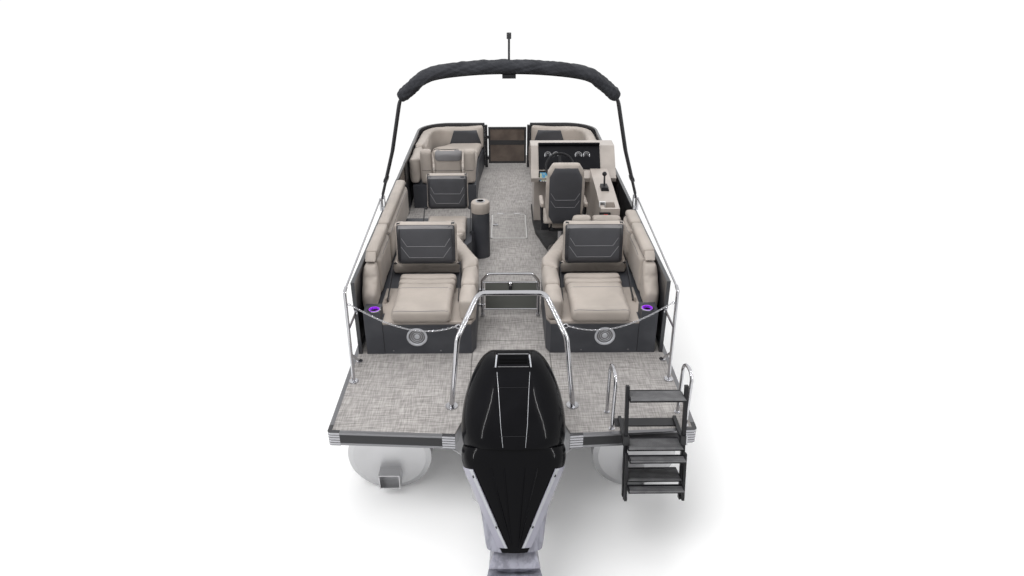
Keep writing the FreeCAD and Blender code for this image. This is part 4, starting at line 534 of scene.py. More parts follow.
class Shell:
    """The mesh of one piece in the making: points, faces and the number of each face's finish."""

    def __init__(self):
        self.points, self.faces, self.marks = [], [], []

    def add(self, points, faces, finish=0):
        start = len(self.points)
        self.points.extend(Vector(point) for point in points)
        self.faces.extend([start + i for i in face] for face in faces)
        self.marks.extend([finish] * len(faces))
        return self

    def skin(self, rings, finish=0, closed=False, capped=True, slit=0):
        """A skin over rings of equally many points; a closed one ends where it starts, and a slit
        leaves the last faces of each ring out."""
        rows, count = len(rings), len(rings[0])
        faces = []
        for i in range(rows if closed else rows - 1):
            low, high = i * count, (i + 1) % rows * count
            for j in range(count - slit):
                k = (j + 1) % count
                faces.append([low + j, low + k, high + k, high + j])
        if capped and not closed:
            faces.append(list(range(count))[::-1])
            faces.append([(rows - 1) * count + j for j in range(count)])
        return self.add([point for ring in rings for point in ring], faces, finish)

    def tube(self, points, radius, finish=0, sides=8, closed=False):
        """A round bar along a line of points."""
        points = [Vector(point) for point in points]
        count = len(points)
        rings, side = [], None
        for i, point in enumerate(points):
            ahead = points[(i + 1) % count] if closed or i < count - 1 else point
            back = points[i - 1] if closed or i > 0 else point
            run = (ahead - back).normalized()
            side = side if side is not None else run.orthogonal()
            side = (side - run * side.dot(run)).normalized()
            other = run.cross(side)
            rings.append([point + (side * math.cos(a) + other * math.sin(a)) * radius
                          for a in (2 * math.pi * k / sides for k in range(sides))])
        return self.skin(rings, finish, closed)

    def turned(self, centre, axis, profile, finish=0, steps=32):
        """A turned ring: a closed profile of radius and height, swept round an axis."""
        axis = Vector(axis).normalized()
        side = axis.orthogonal().normalized()
        other = axis.cross(side)
        rings = []
        for k in range(steps):
            a = 2 * math.pi * k / steps
            out = side * math.cos(a) + other * math.sin(a)
            rings.append([Vector(centre) + out * radius + axis * height for radius, height in profile])
        return self.skin(rings, finish, closed=True)

    def block(self, low, high, rounding=0.004, finish=0, matrix=None):
        """A block between two corners with rounded edges."""
        low, high = Vector(low), Vector(high)
        bm = bmesh.new()
        bmesh.ops.create_cube(bm, size=1.0)
        for vert in bm.verts:
            vert.co = [low[i] + (high[i] - low[i]) * (vert.co[i] + 0.5) for i in range(3)]
        bmesh.ops.bevel(bm, geom=bm.edges[:], offset=rounding, segments=2, affect="EDGES", profile=0.6)
        if matrix is not None:
            bm.transform(matrix)
        return self.add(*taken(bm), finish)

    def cover(self, pad, plane, outline, rise, finish=0, edge=0.012, rings=7, spacing=0.02):
        """A panel sewn onto a pad: it lies on the pad's surface and stands a little proud of it."""
        tucked, rounded = -0.25, 0.75
        corners = even([plane.at(a, b) for a, b in outline], spacing, closed=True)
        low, high = box_of(corners)
        middle = (low + high) / 2
        half = max((corner - middle).length for corner in corners)
        shares = [1.0, 1 - 0.4 * edge / half, 1 - edge / half]
        shares += [shares[-1] * (1 - k / rings) for k in range(1, rings)]
        layers = []
        for number, share in enumerate(shares):
            lift = (tucked, rounded, 1.0)[min(number, 2)] * rise
            layers.append([pad.touch(middle + (corner - middle) * share, plane.out, lift)
                           for corner in corners])
        self.skin(layers, finish, capped=False)
        hub, last = pad.touch(middle, plane.out, rise), layers[-1]
        fan = [[0, 1 + (j + 1) % len(last), 1 + j] for j in range(len(last))]
        return self.add([hub] + last, fan, finish)

    def stitch(self, pad, plane, line, radius, finish=0, lift=0.0, closed=False):
        """A thin welt or thread along a line on a pad's surface."""
        points = even([plane.at(a, b) for a, b in line], 0.02, closed)
        return self.tube([pad.touch(point, plane.out, lift) for point in points], radius, finish, 6, closed)

    def mesh(self, name):
        mesh = bpy.data.meshes.new(name)
        mesh.from_pydata(self.points, [], self.faces)
        mesh.polygons.foreach_set("material_index", self.marks)
        bm = bmesh.new()
        bm.from_mesh(mesh)
        bmesh.ops.recalc_face_normals(bm, faces=bm.faces[:])
        bm.to_mesh(mesh)
        bm.free()
        return mesh

    def piece(self, name, body, slot, *finishes, crease=40):
        """Finishes the mesh as a piece that rides on a body; edges sharper than crease stay sharp."""
        mesh = self.mesh(name)
        piece = new_piece(name, mesh, body, slot, *finishes)
        mesh.set_sharp_from_angle(angle=math.radians(crease))
        return piece


class Plane:
    """A drawing plane in front of a pad: a corner, the way across, the way up, and the way out."""

    def __init__(self, corner, across, up):
        self.corner, self.across, self.up = Vector(corner), Vector(across), Vector(up)
        self.out = self.across.cross(self.up).normalized()

    def at(self, a, b):
        """The point at a share of the way across and a share of the way up."""
        return self.corner + self.across * a + self.up * b


class Surface:
    """The outer surface of some meshes, to lay panels, welts and bars on."""

    def __init__(self, *meshes):
        points, faces = [], []
        for mesh in meshes:
            start = len(points)
            points += [vert.co.copy() for vert in mesh.vertices]
            faces += [[start + i for i in face.vertices] for face in mesh.polygons]
        self.tree = BVHTree.FromPolygons(points, faces)

    def touch(self, point, out, lift=0.0):
        """The point moved along a direction until it lies on the surface, then lifted off it."""
        hit, normal, _, _ = self.tree.ray_cast(point + out * 0.25, -out, 0.6)
        if hit is None:
            hit, normal, _, _ = self.tree.find_nearest(point)
        if normal.dot(out) < 0:
            normal = -normal
        return hit + (normal + out).normalized() * lift


def washer(inner, outer, low, high):
    """The profile of a flat ring, to turn round an axis."""
    return (inner, low), (outer, low), (outer, high), (inner, high)


def even(points, spacing, closed=False):
    """The line through some points, with points about evenly spaced along it."""
    points = [Vector(point) for point in points]
    if closed:
        points = points + points[:1]
    line = []
    for start, stop in zip(points, points[1:]):
        count = max(1, round((stop - start).length / spacing))
        line += [start.lerp(stop, k / count) for k in range(count)]
    return line if closed else line + points[-1:]


def rounded_outline(x0, y0, x1, y1, corner):
    """A rectangle's outline with rounded corners, in shares of a plane."""
    outline, steps = [], 4
    for cx, cy, start in ((x1 - corner, y1 - corner, 0), (x0 + corner, y1 - corner, 90),
                          (x0 + corner, y0 + corner, 180), (x1 - corner, y0 + corner, 270)):
        for k in range(steps + 1):
            a = math.radians(start + 90 * k / steps)
            outline.append((cx + corner * math.cos(a), cy + corner * math.sin(a)))
    return outline


def shown(name, data):
    """A new object in the scene."""
    thing = bpy.data.objects.new(name, data)
    bpy.context.scene.collection.objects.link(thing)
    return thing


def new_piece(name, mesh, body, slot, *finishes):
    """Adds a mesh as a piece that rides on a body."""
    piece = shown(name, mesh)
    marks = [face.material_index for face in mesh.polygons]
    paint(piece, *finishes)
    mesh.polygons.foreach_set("material_index", marks)
    mesh.polygons.foreach_set("use_smooth", [True] * len(mesh.polygons))
    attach(piece, body)
    return piece


def solids(node):
    """The separate solids of a CAD node, each a list of corners and a list of faces."""
    bm = bmesh.new()
    bm.from_mesh(NODES[node].data)
    bmesh.ops.remove_doubles(bm, verts=bm.verts, dist=1e-5)
    found, seen = [], set()
    for start in bm.verts:
        if start in seen:
            continue
        stack, group = [start], []
        seen.add(start)
        while stack:
            vert = stack.pop()
            group.append(vert)
            for edge in vert.link_edges:
                other = edge.other_vert(vert)
                if other not in seen:
                    seen.add(other)
                    stack.append(other)
        number = {vert: i for i, vert in enumerate(group)}
        faces = dict.fromkeys(face for vert in group for face in vert.link_faces)
        found.append(([vert.co.copy() for vert in group],
                      [[number[v] for v in face.verts] for face in faces]))
    bm.free()
    return found


def taken(bm):
    """A solid, as its corners and its faces, from a mesh in the making."""
    bm.verts.index_update()
    solid = [vert.co.copy() for vert in bm.verts], [[v.index for v in face.verts] for face in bm.faces]
    bm.free()
    return solid


def hull(points):
    """The closed solid round some points."""
    bm = bmesh.new()
    for point in points:
        bm.verts.new(point)
    bmesh.ops.convex_hull(bm, input=bm.verts[:])
    return taken(bm)


def box_of(points):
    """The lowest and the highest corner of a set of points."""
    low = Vector([min(p[i] for p in points) for i in range(3)])
    high = Vector([max(p[i] for p in points) for i in range(3)])
    return low, high


def halves(solid, point, normal):
    """A solid cut in two by a plane; a half that the plane misses is left out."""
    found = []
    for side in (True, False):
        bm = bmesh.new()
        verts = [bm.verts.new(corner) for corner in solid[0]]
        for face in solid[1]:
            bm.faces.new([verts[i] for i in face])
        bmesh.ops.bisect_plane(bm, geom=bm.verts[:] + bm.edges[:] + bm.faces[:], plane_co=point,
                               plane_no=normal, clear_outer=side, clear_inner=not side)
        bmesh.ops.holes_fill(bm, edges=[edge for edge in bm.edges if edge.is_boundary], sides=0)
        half = taken(bm)
        if len(half[1]) > 3:
            found.append(half)
    return found


def remade(mesh, **modifiers):
    """A copy of a mesh with modifiers applied; each is given as its type and its settings."""
    holder = shown("holder", mesh)
    for kind, settings in modifiers.items():
        modifier = holder.modifiers.new(kind, kind)
        for name, value in settings.items():
            setattr(modifier, name, value)
    depsgraph = bpy.context.evaluated_depsgraph_get()
    result = bpy.data.meshes.new_from_object(holder.evaluated_get(depsgraph))
    bpy.data.objects.remove(holder)
    return result


def inflate(mesh, cap):
    """Blows a closed mesh up a little as cloth, so that its sides crown and its corners pull in."""
    holder = shown("pad_cloth", mesh)
    scene = bpy.context.scene
    cloth = holder.modifiers.new("Cloth", "CLOTH")
    settings = cloth.settings
    settings.use_pressure = True
    settings.uniform_pressure_force = PAD_PRESSURE
    settings.effector_weights.gravity = 0
    settings.quality = 4
    settings.tension_stiffness = settings.compression_stiffness = 12
    settings.bending_stiffness = 0.6
    cloth.point_cache.frame_start, cloth.point_cache.frame_end = 1, PAD_FRAMES
    start = [vert.co.copy() for vert in mesh.vertices]
    for number in range(1, PAD_FRAMES + 1):
        scene.frame_set(number)
    depsgraph = bpy.context.evaluated_depsgraph_get()
    blown = holder.evaluated_get(depsgraph).data
    moved = []
    for before, vert in zip(start, blown.vertices):
        shift = vert.co - before
        if shift.length > cap:
            shift *= cap / shift.length
        moved.append(before + shift)
    bpy.data.objects.remove(holder)
    scene.frame_set(1)
    for vert, place in zip(mesh.vertices, moved):
        vert.co = place
    return mesh


def pad_mesh(solid, voxel, cuts=(), rounding=6, cap=0.016, shrink=0.006):
    """A stuffed form from a plain solid. Cuts are planes where it is sewn: each part between them is
    rounded and blown up, and keeps to its own side of the seam."""
    low, high = box_of(solid[0])
    parts = [(solid, [])]
    for point, normal in cuts:
        point, normal = Vector(point), Vector(normal).normalized()
        split = []
        for part, fences in parts:
            for half in halves(part, point, normal):
                middle = sum(half[0], Vector()) / len(half[0])
                outward = normal if (middle - point).dot(normal) < 0 else -normal
                split.append((half, fences + [(point, outward)]))
        parts = split
    whole = Shell()
    for (points, faces), fences in parts:
        a, b = box_of(points)
        middle, size = (a + b) / 2, b - a
        scale = [max(0.5, 1 - 2 * shrink / size[i]) for i in range(3)]
        rough = bpy.data.meshes.new("pad")
        rough.from_pydata([[middle[i] + (p[i] - middle[i]) * scale[i] for i in range(3)] for p in points],
                          [], faces)
        mesh = remade(rough, REMESH={"mode": "VOXEL", "voxel_size": voxel},
                      SMOOTH={"factor": 0.5, "iterations": rounding})
        mesh = inflate(mesh, cap)
        for vert in mesh.vertices:
            for point, outward in fences:
                past = (vert.co - point).dot(outward) + SEAM_GAP
                if past > 0:
                    vert.co -= outward * past
            for i in range(3):
                vert.co[i] = min(max(vert.co[i], low[i] - PAD_EASE), high[i] + PAD_EASE)
            vert.co.z = max(vert.co.z, low.z + PAD_LIFT)
        mesh = remade(mesh, SUBSURF={"levels": 1, "render_levels": 1})
        whole.add([vert.co for vert in mesh.vertices], [list(face.vertices) for face in mesh.polygons])
    return whole.mesh("pad")


def cushion(name, solid, body, voxel, replaced, **settings):
    """A stuffed piece from a solid; it gives back the surface that trim can be laid on."""
    mesh = pad_mesh(solid, voxel, **settings)
    piece = new_piece(name, mesh, body, "cushion_beige", "beige")
    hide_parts(replaced)
    return Surface(mesh)


# ---------------------------------------------------------------- upholstery

def across(y, lean=0.0):
    """A seam that runs across the boat at a place along it."""
    return (0, y, 0), (lean, 1, 0)


def along(x):
    """A seam that runs along the boat at a place across it."""
    return (x, 0, 0), (1, 0, 0)


def stern_seats():
    """The aft lounges: sun pad, arm bolster, fore seat and, to starboard, a cross back."""
    for name, side in SIDES:
        node = f"stern_cushions_{name}"
        rows = {"aft_pad": (across(STERN + 1.61), across(STERN + 1.52)),
                "arm": (across(STERN + 1.36), across(STERN + 1.90, side * 0.55)),
                "fore_pad": (across(STERN + 2.12),), "cross_back": (along(side * 0.79),)}
        for part, solid in zip(rows, sort_stern(solids(node))):
            surface = cushion(f"{node}_{part}", solid, BOAT, 0.02, node, cuts=rows[part])
            if part == "aft_pad":
                low, high = box_of(solid[0])
                top = Plane((low.x, low.y, high.z), (high.x - low.x, 0, 0), (0, high.y - low.y, 0))
                trim = Shell()
                for b in (0.05, 0.555):
                    trim.stitch(surface, top, [(0.05, b), (0.95, b)], 0.0022)
                trim.piece(f"{node}_stitching", BOAT, "cushion_beige", "thread")


def sort_stern(parts):
    """Aft pad, arm, fore pad and cross back, in that order."""
    def kind(solid):
        low, high = box_of(solid[0])
        if high.y - low.y > 1.0:
            return 1
        if high.z > SEAT + 0.25:
            return 3
        return 0 if low.y < STERN + 1.2 else 2
    return sorted(parts, key=kind)


def both_faces(low, high, lean=0.0, swell=0.0):
    """The planes of a back's aft face and fore face."""
    wide, tall = high.x - low.x, high.z - low.z
    return (Plane((low.x, low.y, low.z), (wide, 0, 0), (0, lean, tall)),
            Plane((high.x, high.y - lean, low.z), (-wide, 0, 0), (0, lean - swell, tall)))


def swing_backs():
    """Backrests that face either way: beige round a dark panel, with a band and two chevrons."""
    for name in ("port", "starboard", "mid"):
        node, body = f"swing_back_{name}", f"back_{name}"
        surface = cushion(f"{node}_pad", solids(node)[0], body, 0.014, node, rounding=5, cap=0.012)
        low, high = (Vector(corner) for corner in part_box(node))
        trim = Shell()
        for plane in both_faces(low, high, 0.055, 0.01):
            panel = [(0.11, 0.06), (0.89, 0.06), (0.94, 0.14), (0.94, 0.90), (0.92, 0.93), (0.08, 0.93),
                     (0.06, 0.90), (0.06, 0.14)]
            trim.cover(surface, plane, panel, 0.006, 0)
            trim.cover(surface, plane, [(0.08, 0.86), (0.92, 0.86), (0.92, 0.925), (0.08, 0.925)], 0.008, 1,
                       edge=0.006, rings=3)
            for x0, x1 in ((0.062, 0.108), (0.892, 0.938)):
                trim.cover(surface, plane, [(x0, 0.15), (x1, 0.13), (x1, 0.975), (x0, 0.975)], 0.008, 2,
                           edge=0.005, rings=3)
            for line in ([(0.13, 0.65), (0.21, 0.47), (0.79, 0.47), (0.87, 0.65)],
                         [(0.12, 0.46), (0.24, 0.22), (0.76, 0.22), (0.88, 0.46)]):
                trim.stitch(surface, plane, line, 0.0034, 3, 0.0065)
            trim.stitch(surface, plane, panel, 0.003, 0, 0.001, closed=True)
        trim.piece(f"{node}_panels", body, "cushion_dark", "charcoal", "ash", "charcoal_dark", "thread")
        # a small round boss where each arm's pin enters the back
        bosses = Shell()
        pin = Vector(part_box(f"swing_arms_{name}")[1])
        for x, way in ((low.x, -1), (high.x, 1)):
            bosses.turned((x - way * 0.004, pin.y - 0.017, pin.z - 0.017), (way, 0, 0),
                          ((0.010, 0), (0.016, 0), (0.015, 0.005), (0.010, 0.006)), 0, 20)
        bosses.piece(f"{node}_pin_bosses", body, "black_parts", "satin")


def bow_seats():
    """The bow lounges: seat, wrapped back and cross back with a dark panel and a head flap."""
    for name, side in SIDES:
        node = f"bow_cushions_{name}"
        for solid in sorted(solids(node), key=lambda solid: len(solid[0])):
            low, high = box_of(solid[0])
            if high.z > DECK + 0.72:
                part, cuts = "cross_back", (along(side * 0.937), along(side * 0.555))
            elif high.z > DECK + 0.6:
                part, cuts = "back", (across(STERN + 5.1), ((0, STERN + 5.85, 0), (side * 0.7, 1, 0)))
            else:
                part, cuts = "seat", (across(STERN + 5.02), across(STERN + 5.55))
            surface = cushion(f"{node}_{part}", solid, BOAT, 0.024, node, cuts=cuts)
            trim = Shell()
            if part == "cross_back":
                for plane in both_faces(low, high):
                    trim.cover(surface, plane, rounded_outline(0.28, 0.70, 0.76, 0.97, 0.06), 0.010, 1)
                    trim.stitch(surface, plane, [(0.04, 0.42), (0.96, 0.42)], 0.003)
                trim.piece(f"{node}_flap", BOAT, "cushion_dark", "charcoal", "ash")
            elif part == "back":
                y = high.y - 0.125
                plane = Plane((low.x, y, low.z), (high.x - low.x, 0, 0), (0, 0, high.z - low.z))
                a, b = (0.05, 0.56) if side > 0 else (0.44, 0.95)
                panel = [(a, 0.28), (b, 0.28), (b - 0.07, 0.84), (a + 0.07, 0.84)]
                trim.cover(surface, plane, panel, 0.008)
                trim.piece(f"{node}_panel", BOAT, "cushion_dark", "charcoal")


def coamings():
    """The padded coamings, with a seam along the top edge and one across."""
    for name in ("port", "starboard"):
        node = f"coaming_{name}"
        solid = solids(node)[0]
        low, high = box_of(solid[0])
        seams = across(STERN + 1.47), across(STERN + 2.1), ((0, 0, high.z - 0.09), (0, 0, 1))
        surface = cushion(f"{node}_pad", solid, BOAT, 0.022, node, cuts=seams)
        inner, way = (high.x, 1) if name == "port" else (low.x, -1)
        plane = Plane((inner, low.y if way > 0 else high.y, low.z), (0, way * (high.y - low.y), 0),
                      (0, 0, high.z - low.z))
        trim = Shell()
        a, b = (0.22, 0.95) if way > 0 else (0.05, 0.66)
        trim.stitch(surface, plane, [(a, 0.70), (b, 0.70)], 0.0024)
        trim.piece(f"{node}_stitching", BOAT, "cushion_beige", "thread")


def mid_seat():
    """The port seat amidships and the round cup pod beside it."""
    node = "mid_cushions"
    for solid in solids(node):
        low, high = box_of(solid[0])
        if high.z > SEAT + 0.2:
            cup_pod(node, (low + high) / 2, high.z)
        else:
            cushion(f"{node}_pad", solid, BOAT, 0.02, node, cuts=(across(STERN + 2.64),))


def cup_pod(node, middle, top):
    """A padded drum with a steel cup let into it."""
    drum, cup = 0.098, 0.040
    low = SEAT + 0.2
    shell = Shell()
    padding = ((cup, low + 0.041), (cup, top - 0.010), (cup + 0.006, top - 0.002),
               (drum - 0.020, top - 0.001), (drum - 0.006, top - 0.008), (drum, top - 0.022),
               (drum + 0.001, low + 0.05), (drum - 0.002, low + 0.004), (drum - 0.012, low), (0.002, low),
               (0.002, low + 0.041))
    shell.turned((middle.x, middle.y, 0), UP, padding, 0, 48)
    piece = shell.piece(f"{node}_pod", BOAT, "cushion_beige", "beige")
    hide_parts(node)
    lining = Shell()
    steel = ((cup - 0.0015, low + 0.0415), (cup - 0.0015, top - 0.001), (cup + 0.009, top + 0.001),
             (cup + 0.009, top + 0.003), (cup - 0.005, top + 0.003), (cup - 0.005, low + 0.046),
             (0.002, low + 0.046), (0.002, low + 0.0415))
    lining.turned((middle.x, middle.y, 0), UP, steel, 0, 40)
    lining.piece(f"{node}_cup", BOAT, "chrome", "chrome")


def helm_chair():
    """The helm chair: shell plate, seat, tall back with a dark panel on both faces, and arms."""
    low, high = (Vector(corner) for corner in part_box("helm_chair"))
    x, y = (low.x + high.x) / 2, STERN + 3.0

    def slab(left, right, outline):
        return hull([(x + a, y + b, DECK + c) for a in (left, right) for b, c in outline])

    seat = slab(-0.214, 0.214, ((-0.17, 0.365), (0.232, 0.352), (0.232, 0.465), (-0.17, 0.462)))
    cushion("helm_chair_seat", seat, "chair", 0.014, "helm_chair",
            cuts=(along(x - 0.125), along(x + 0.125)))
    rows = ((0.425, 0.175), (0.62, 0.212), (0.88, 0.212), (1.03, 0.19), (1.112, 0.135))
    points = []
    for height, half in rows:
        lean = -0.1 * (height - 0.425)
        points += [(x + a * half, y + b + lean, DECK + height) for a in (-1, 1) for b in (-0.222, -0.128)]
    surface = cushion("helm_chair_back", hull(points), "chair", 0.014, "helm_chair", rounding=5,
                      cap=0.012)
    trim = Shell()
    for plane in (Plane((x - 0.19, y - 0.222, DECK + 0.43), (0.38, 0, 0), (0, -0.068, 0.66)),
                  Plane((x + 0.19, y - 0.128, DECK + 0.43), (-0.38, 0, 0), (0, -0.068, 0.66))):
        panel = [(0.20, 0.03), (0.80, 0.03), (0.93, 0.16), (0.93, 0.80), (0.80, 0.95), (0.20, 0.95),
                 (0.07, 0.80), (0.07, 0.16)]
        trim.cover(surface, plane, panel, 0.007, 0)
        for low_b, high_b in ((0.44, 0.55), (0.32, 0.43)):
            trim.stitch(surface, plane, [(0.12, high_b), (0.24, low_b), (0.76, low_b), (0.88, high_b)],
                        0.0034, 1, 0.0075)
    trim.piece("helm_chair_panels", "chair", "cushion_dark", "charcoal", "thread")
    frame_shell = Shell()
    frame_shell.block((x - 0.15, y - 0.14, DECK + 0.3305), (x + 0.15, y + 0.15, DECK + 0.353), 0.006, 0)
    for side in (-1, 1):
        arm = slab(*sorted((side * 0.203, side * 0.246)),
                   ((-0.19, 0.610), (0.115, 0.598), (0.115, 0.645), (-0.19, 0.660)))
        cushion(f"helm_chair_arm_{'port' if side < 0 else 'starboard'}", arm, "chair", 0.009,
                "helm_chair", rounding=4, shrink=0.002, cap=0.005)
        line = [(x + side * 0.222, y + q, DECK + r) for q, r in
                ((-0.15, 0.42), (-0.15, 0.60), (-0.10, 0.612), (0.05, 0.60), (0.085, 0.585), (0.04, 0.52),
                 (-0.06, 0.44))]
        frame_shell.tube(even(line, 0.03, True), 0.012, 0, 10, closed=True)
        inner, outer = sorted((side * 0.15, side * 0.23))
        frame_shell.block((x + inner, y - 0.165, DECK + 0.355), (x + outer, y - 0.135, DECK + 0.43), 0.006, 0)
    frame_shell.piece("helm_chair_frame", "chair", "black_parts", "black")


def upholstery():
    """Every plain cushion solid of the frame becomes a stuffed piece."""
    stern_seats()
    swing_backs()
    bow_seats()
    coamings()
    mid_seat()
    helm_chair()


# ---------------------------------------------------------------- frame finishes

def frame_finishes():
    """The finishes of the nodes that keep their own shape."""
    table = {
        "tube": "pontoon_port pontoon_starboard pontoon_centre motor_well",
        "frame": "crossmembers helm_pedestal",
        "hatch": "floor_hatch",
        "deck": "deck",
        "rail": "rub_rails",
        "cap": "corner_caps",
        "skin": "fence_port_aft fence_port_bow fence_starboard_aft fence_starboard_bow",
        "satin": "bow_gate_posts engine_clamp engine_swivel top_frame swing_arms_port swing_arms_starboard "
                 "swing_arms_mid",
        "bow_gate": "bow_gate",
        "side_gate": "side_gate",
        "film": "engine_leg",
        "hoops": "ladder_mount",
        "chrome": "stern_gate_hinges tow_bar stern_rails top_mounts hatch_hinges",
        "base": "stern_base_port stern_base_starboard bow_base_port bow_base_starboard mid_base",
        "shell": "console",
        "dash": "dash",
        "stern_gate": "stern_gate",
        "black": "steering_wheel throttle ladder ladder_lower",
        "mat": "helm_step",
        "cowl": "engine_cowl",
        "apron": "engine_apron",
        "prop": "propeller",
    }
    for finish, nodes in table.items():
        for node in nodes.split():
            paint(NODES[node], finish)


# ---------------------------------------------------------------- cords and cloth

def route(points):
    """Points along the smooth line that a chain or a hoop of cloth follows."""
    curve = bpy.data.curves.new("route", "CURVE")
    curve.dimensions = "3D"
    curve.resolution_u = 32
    line = curve.splines.new("NURBS")
    line.points.add(len(points) - 1)
    for slot, point in zip(line.points, points):
        slot.co = (*point, 1.0)
    line.order_u = 3
    line.use_endpoint_u = True
    holder = bpy.data.objects.new("route", curve)
    mesh = bpy.data.meshes.new_from_object(holder)
    found = [vert.co.copy() for vert in mesh.vertices]
    bpy.data.objects.remove(holder)
    return found


def spaced(points, pitch):
    """Points along a line, about one pitch from each other, and the line's length."""
    total = sum((b - a).length for a, b in zip(points, points[1:]))
    count = max(2, round(total / pitch))
    found, walked, step = [points[0].copy()], 0.0, total / count
    for a, b in zip(points, points[1:]):
        run = (b - a).length
        while walked + run >= step * len(found) - 1e-9 and len(found) < count:
            found.append(a.lerp(b, (step * len(found) - walked) / run))
        walked += run
    return found + [points[-1].copy()], total


def chains():
    """A slack chain of welded links across each side of the stern deck."""
    pitch, straight, bend, wire, steps = 0.0185, 0.0062, 0.0052, 0.0018, 12
    for name, side in SIDES:
        line = route([(side * x, y, z) for x, y, z in CHAIN_LINE])
        places, _ = spaced(line, pitch)
        links = Shell()
        for number, (a, b) in enumerate(zip(places, places[1:])):
            run = (b - a).normalized()
            side_way = run.cross(UP).normalized()
            wide = side_way if number % 2 else run.cross(side_way)
            middle = (a + b) / 2
            loop = []
            for angle in (2 * math.pi * k / steps for k in range(steps)):
                end = straight if math.cos(angle) > 0 else -straight
                loop.append(middle + run * (end + bend * math.cos(angle)) + wide * bend * math.sin(angle))
            links.tube(loop, wire, 0, 5, closed=True)
        piece = links.piece(f"chain_links_{name}", BOAT, "chrome", "chrome")
        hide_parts(f"chain_{name}")


def canvas_boot():
    """The canvas top, folded in its sleeve along the hoops and gathered at the two shoulders."""
    wide, tall, drop, steps = 0.096, 0.070, 0.014, 44
    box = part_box("top_canvas")
    middle = box[0][1] / 2 + box[1][1] / 2
    low, high = box[0][2], box[1][2]
    half = box[1][0] - 0.012
    shape = ((half, low + 0.035), (0.93, low + 0.10), (0.77, low + 0.232), (0.62, high - 0.098),
             (0.3, high - 0.066), (0, high - 0.058))
    line = route([(-x, middle, z) for x, z in shape] + [(x, middle, z) for x, z in shape[-2::-1]])
    places, total = spaced(line, 0.009)
    fore = Vector((0, 1, 0))
    rings = []
    for number, place in enumerate(places):
        share = number / (len(places) - 1)
        run = (places[min(number + 1, len(places) - 1)] - places[max(number - 1, 0)]).normalized()
        up = run.cross(fore).normalized()
        up = up if up.z > 0 else -up
        shoulder = max(0.0, abs(share - 0.5) * 2 - 0.55) / 0.45
        end = min(1.0, min(share, 1 - share) / 0.02)
        ring = []
        for k in range(steps):
            angle = 2 * math.pi * (k - 10.5) / steps
            wrinkle = noise.noise(Vector((share * 44 + math.sin(angle) * 3.2, math.cos(angle) * 1.3, 3.0)))
            crease = noise.noise(Vector((share * 24 - math.sin(angle) * 3.0, 7.0, math.cos(angle))))
            rib = math.sin(share * total / 0.021 * math.pi) * shoulder
            swell = 0.95 + 0.10 * crease + 0.09 * wrinkle + 0.03 * rib
            swell *= 0.72 + 0.28 * end
            flat = 0.80 if math.sin(angle) < -0.5 else 1.0
            ring.append(place + fore * math.cos(angle) * wide * swell
                        + up * (math.sin(angle) * tall * swell * flat - drop))
        rings.append(ring)
    cloth = Shell().skin(rings, 0, capped=False, slit=1)
    piece = cloth.piece("canvas_boot", "canvas_top", "canvas", "canvas", crease=70)
    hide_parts("top_canvas")
    trim = Shell()
    for offset in (-0.030, 0.030):
        trim.tube([place + Vector((0, offset, -0.066)) for place in places[14:-14:3]], 0.006, 0, 6)
    trim.block((-0.062, middle - 0.045, high - 0.168), (0.062, middle + 0.045, high - 0.132), 0.005, 0)
    trim.piece("canvas_boot_trim", "canvas_top", "canvas", "black")


# ---------------------------------------------------------------- fittings

def on_engine(x, up, fore=0.0):
    """A point given across the engine, up along its axis and fore of its pivot."""
    return ENGINE_PIVOT + Vector((x, 0, 0)) + ENGINE_UP * up + ENGINE_FORE * fore


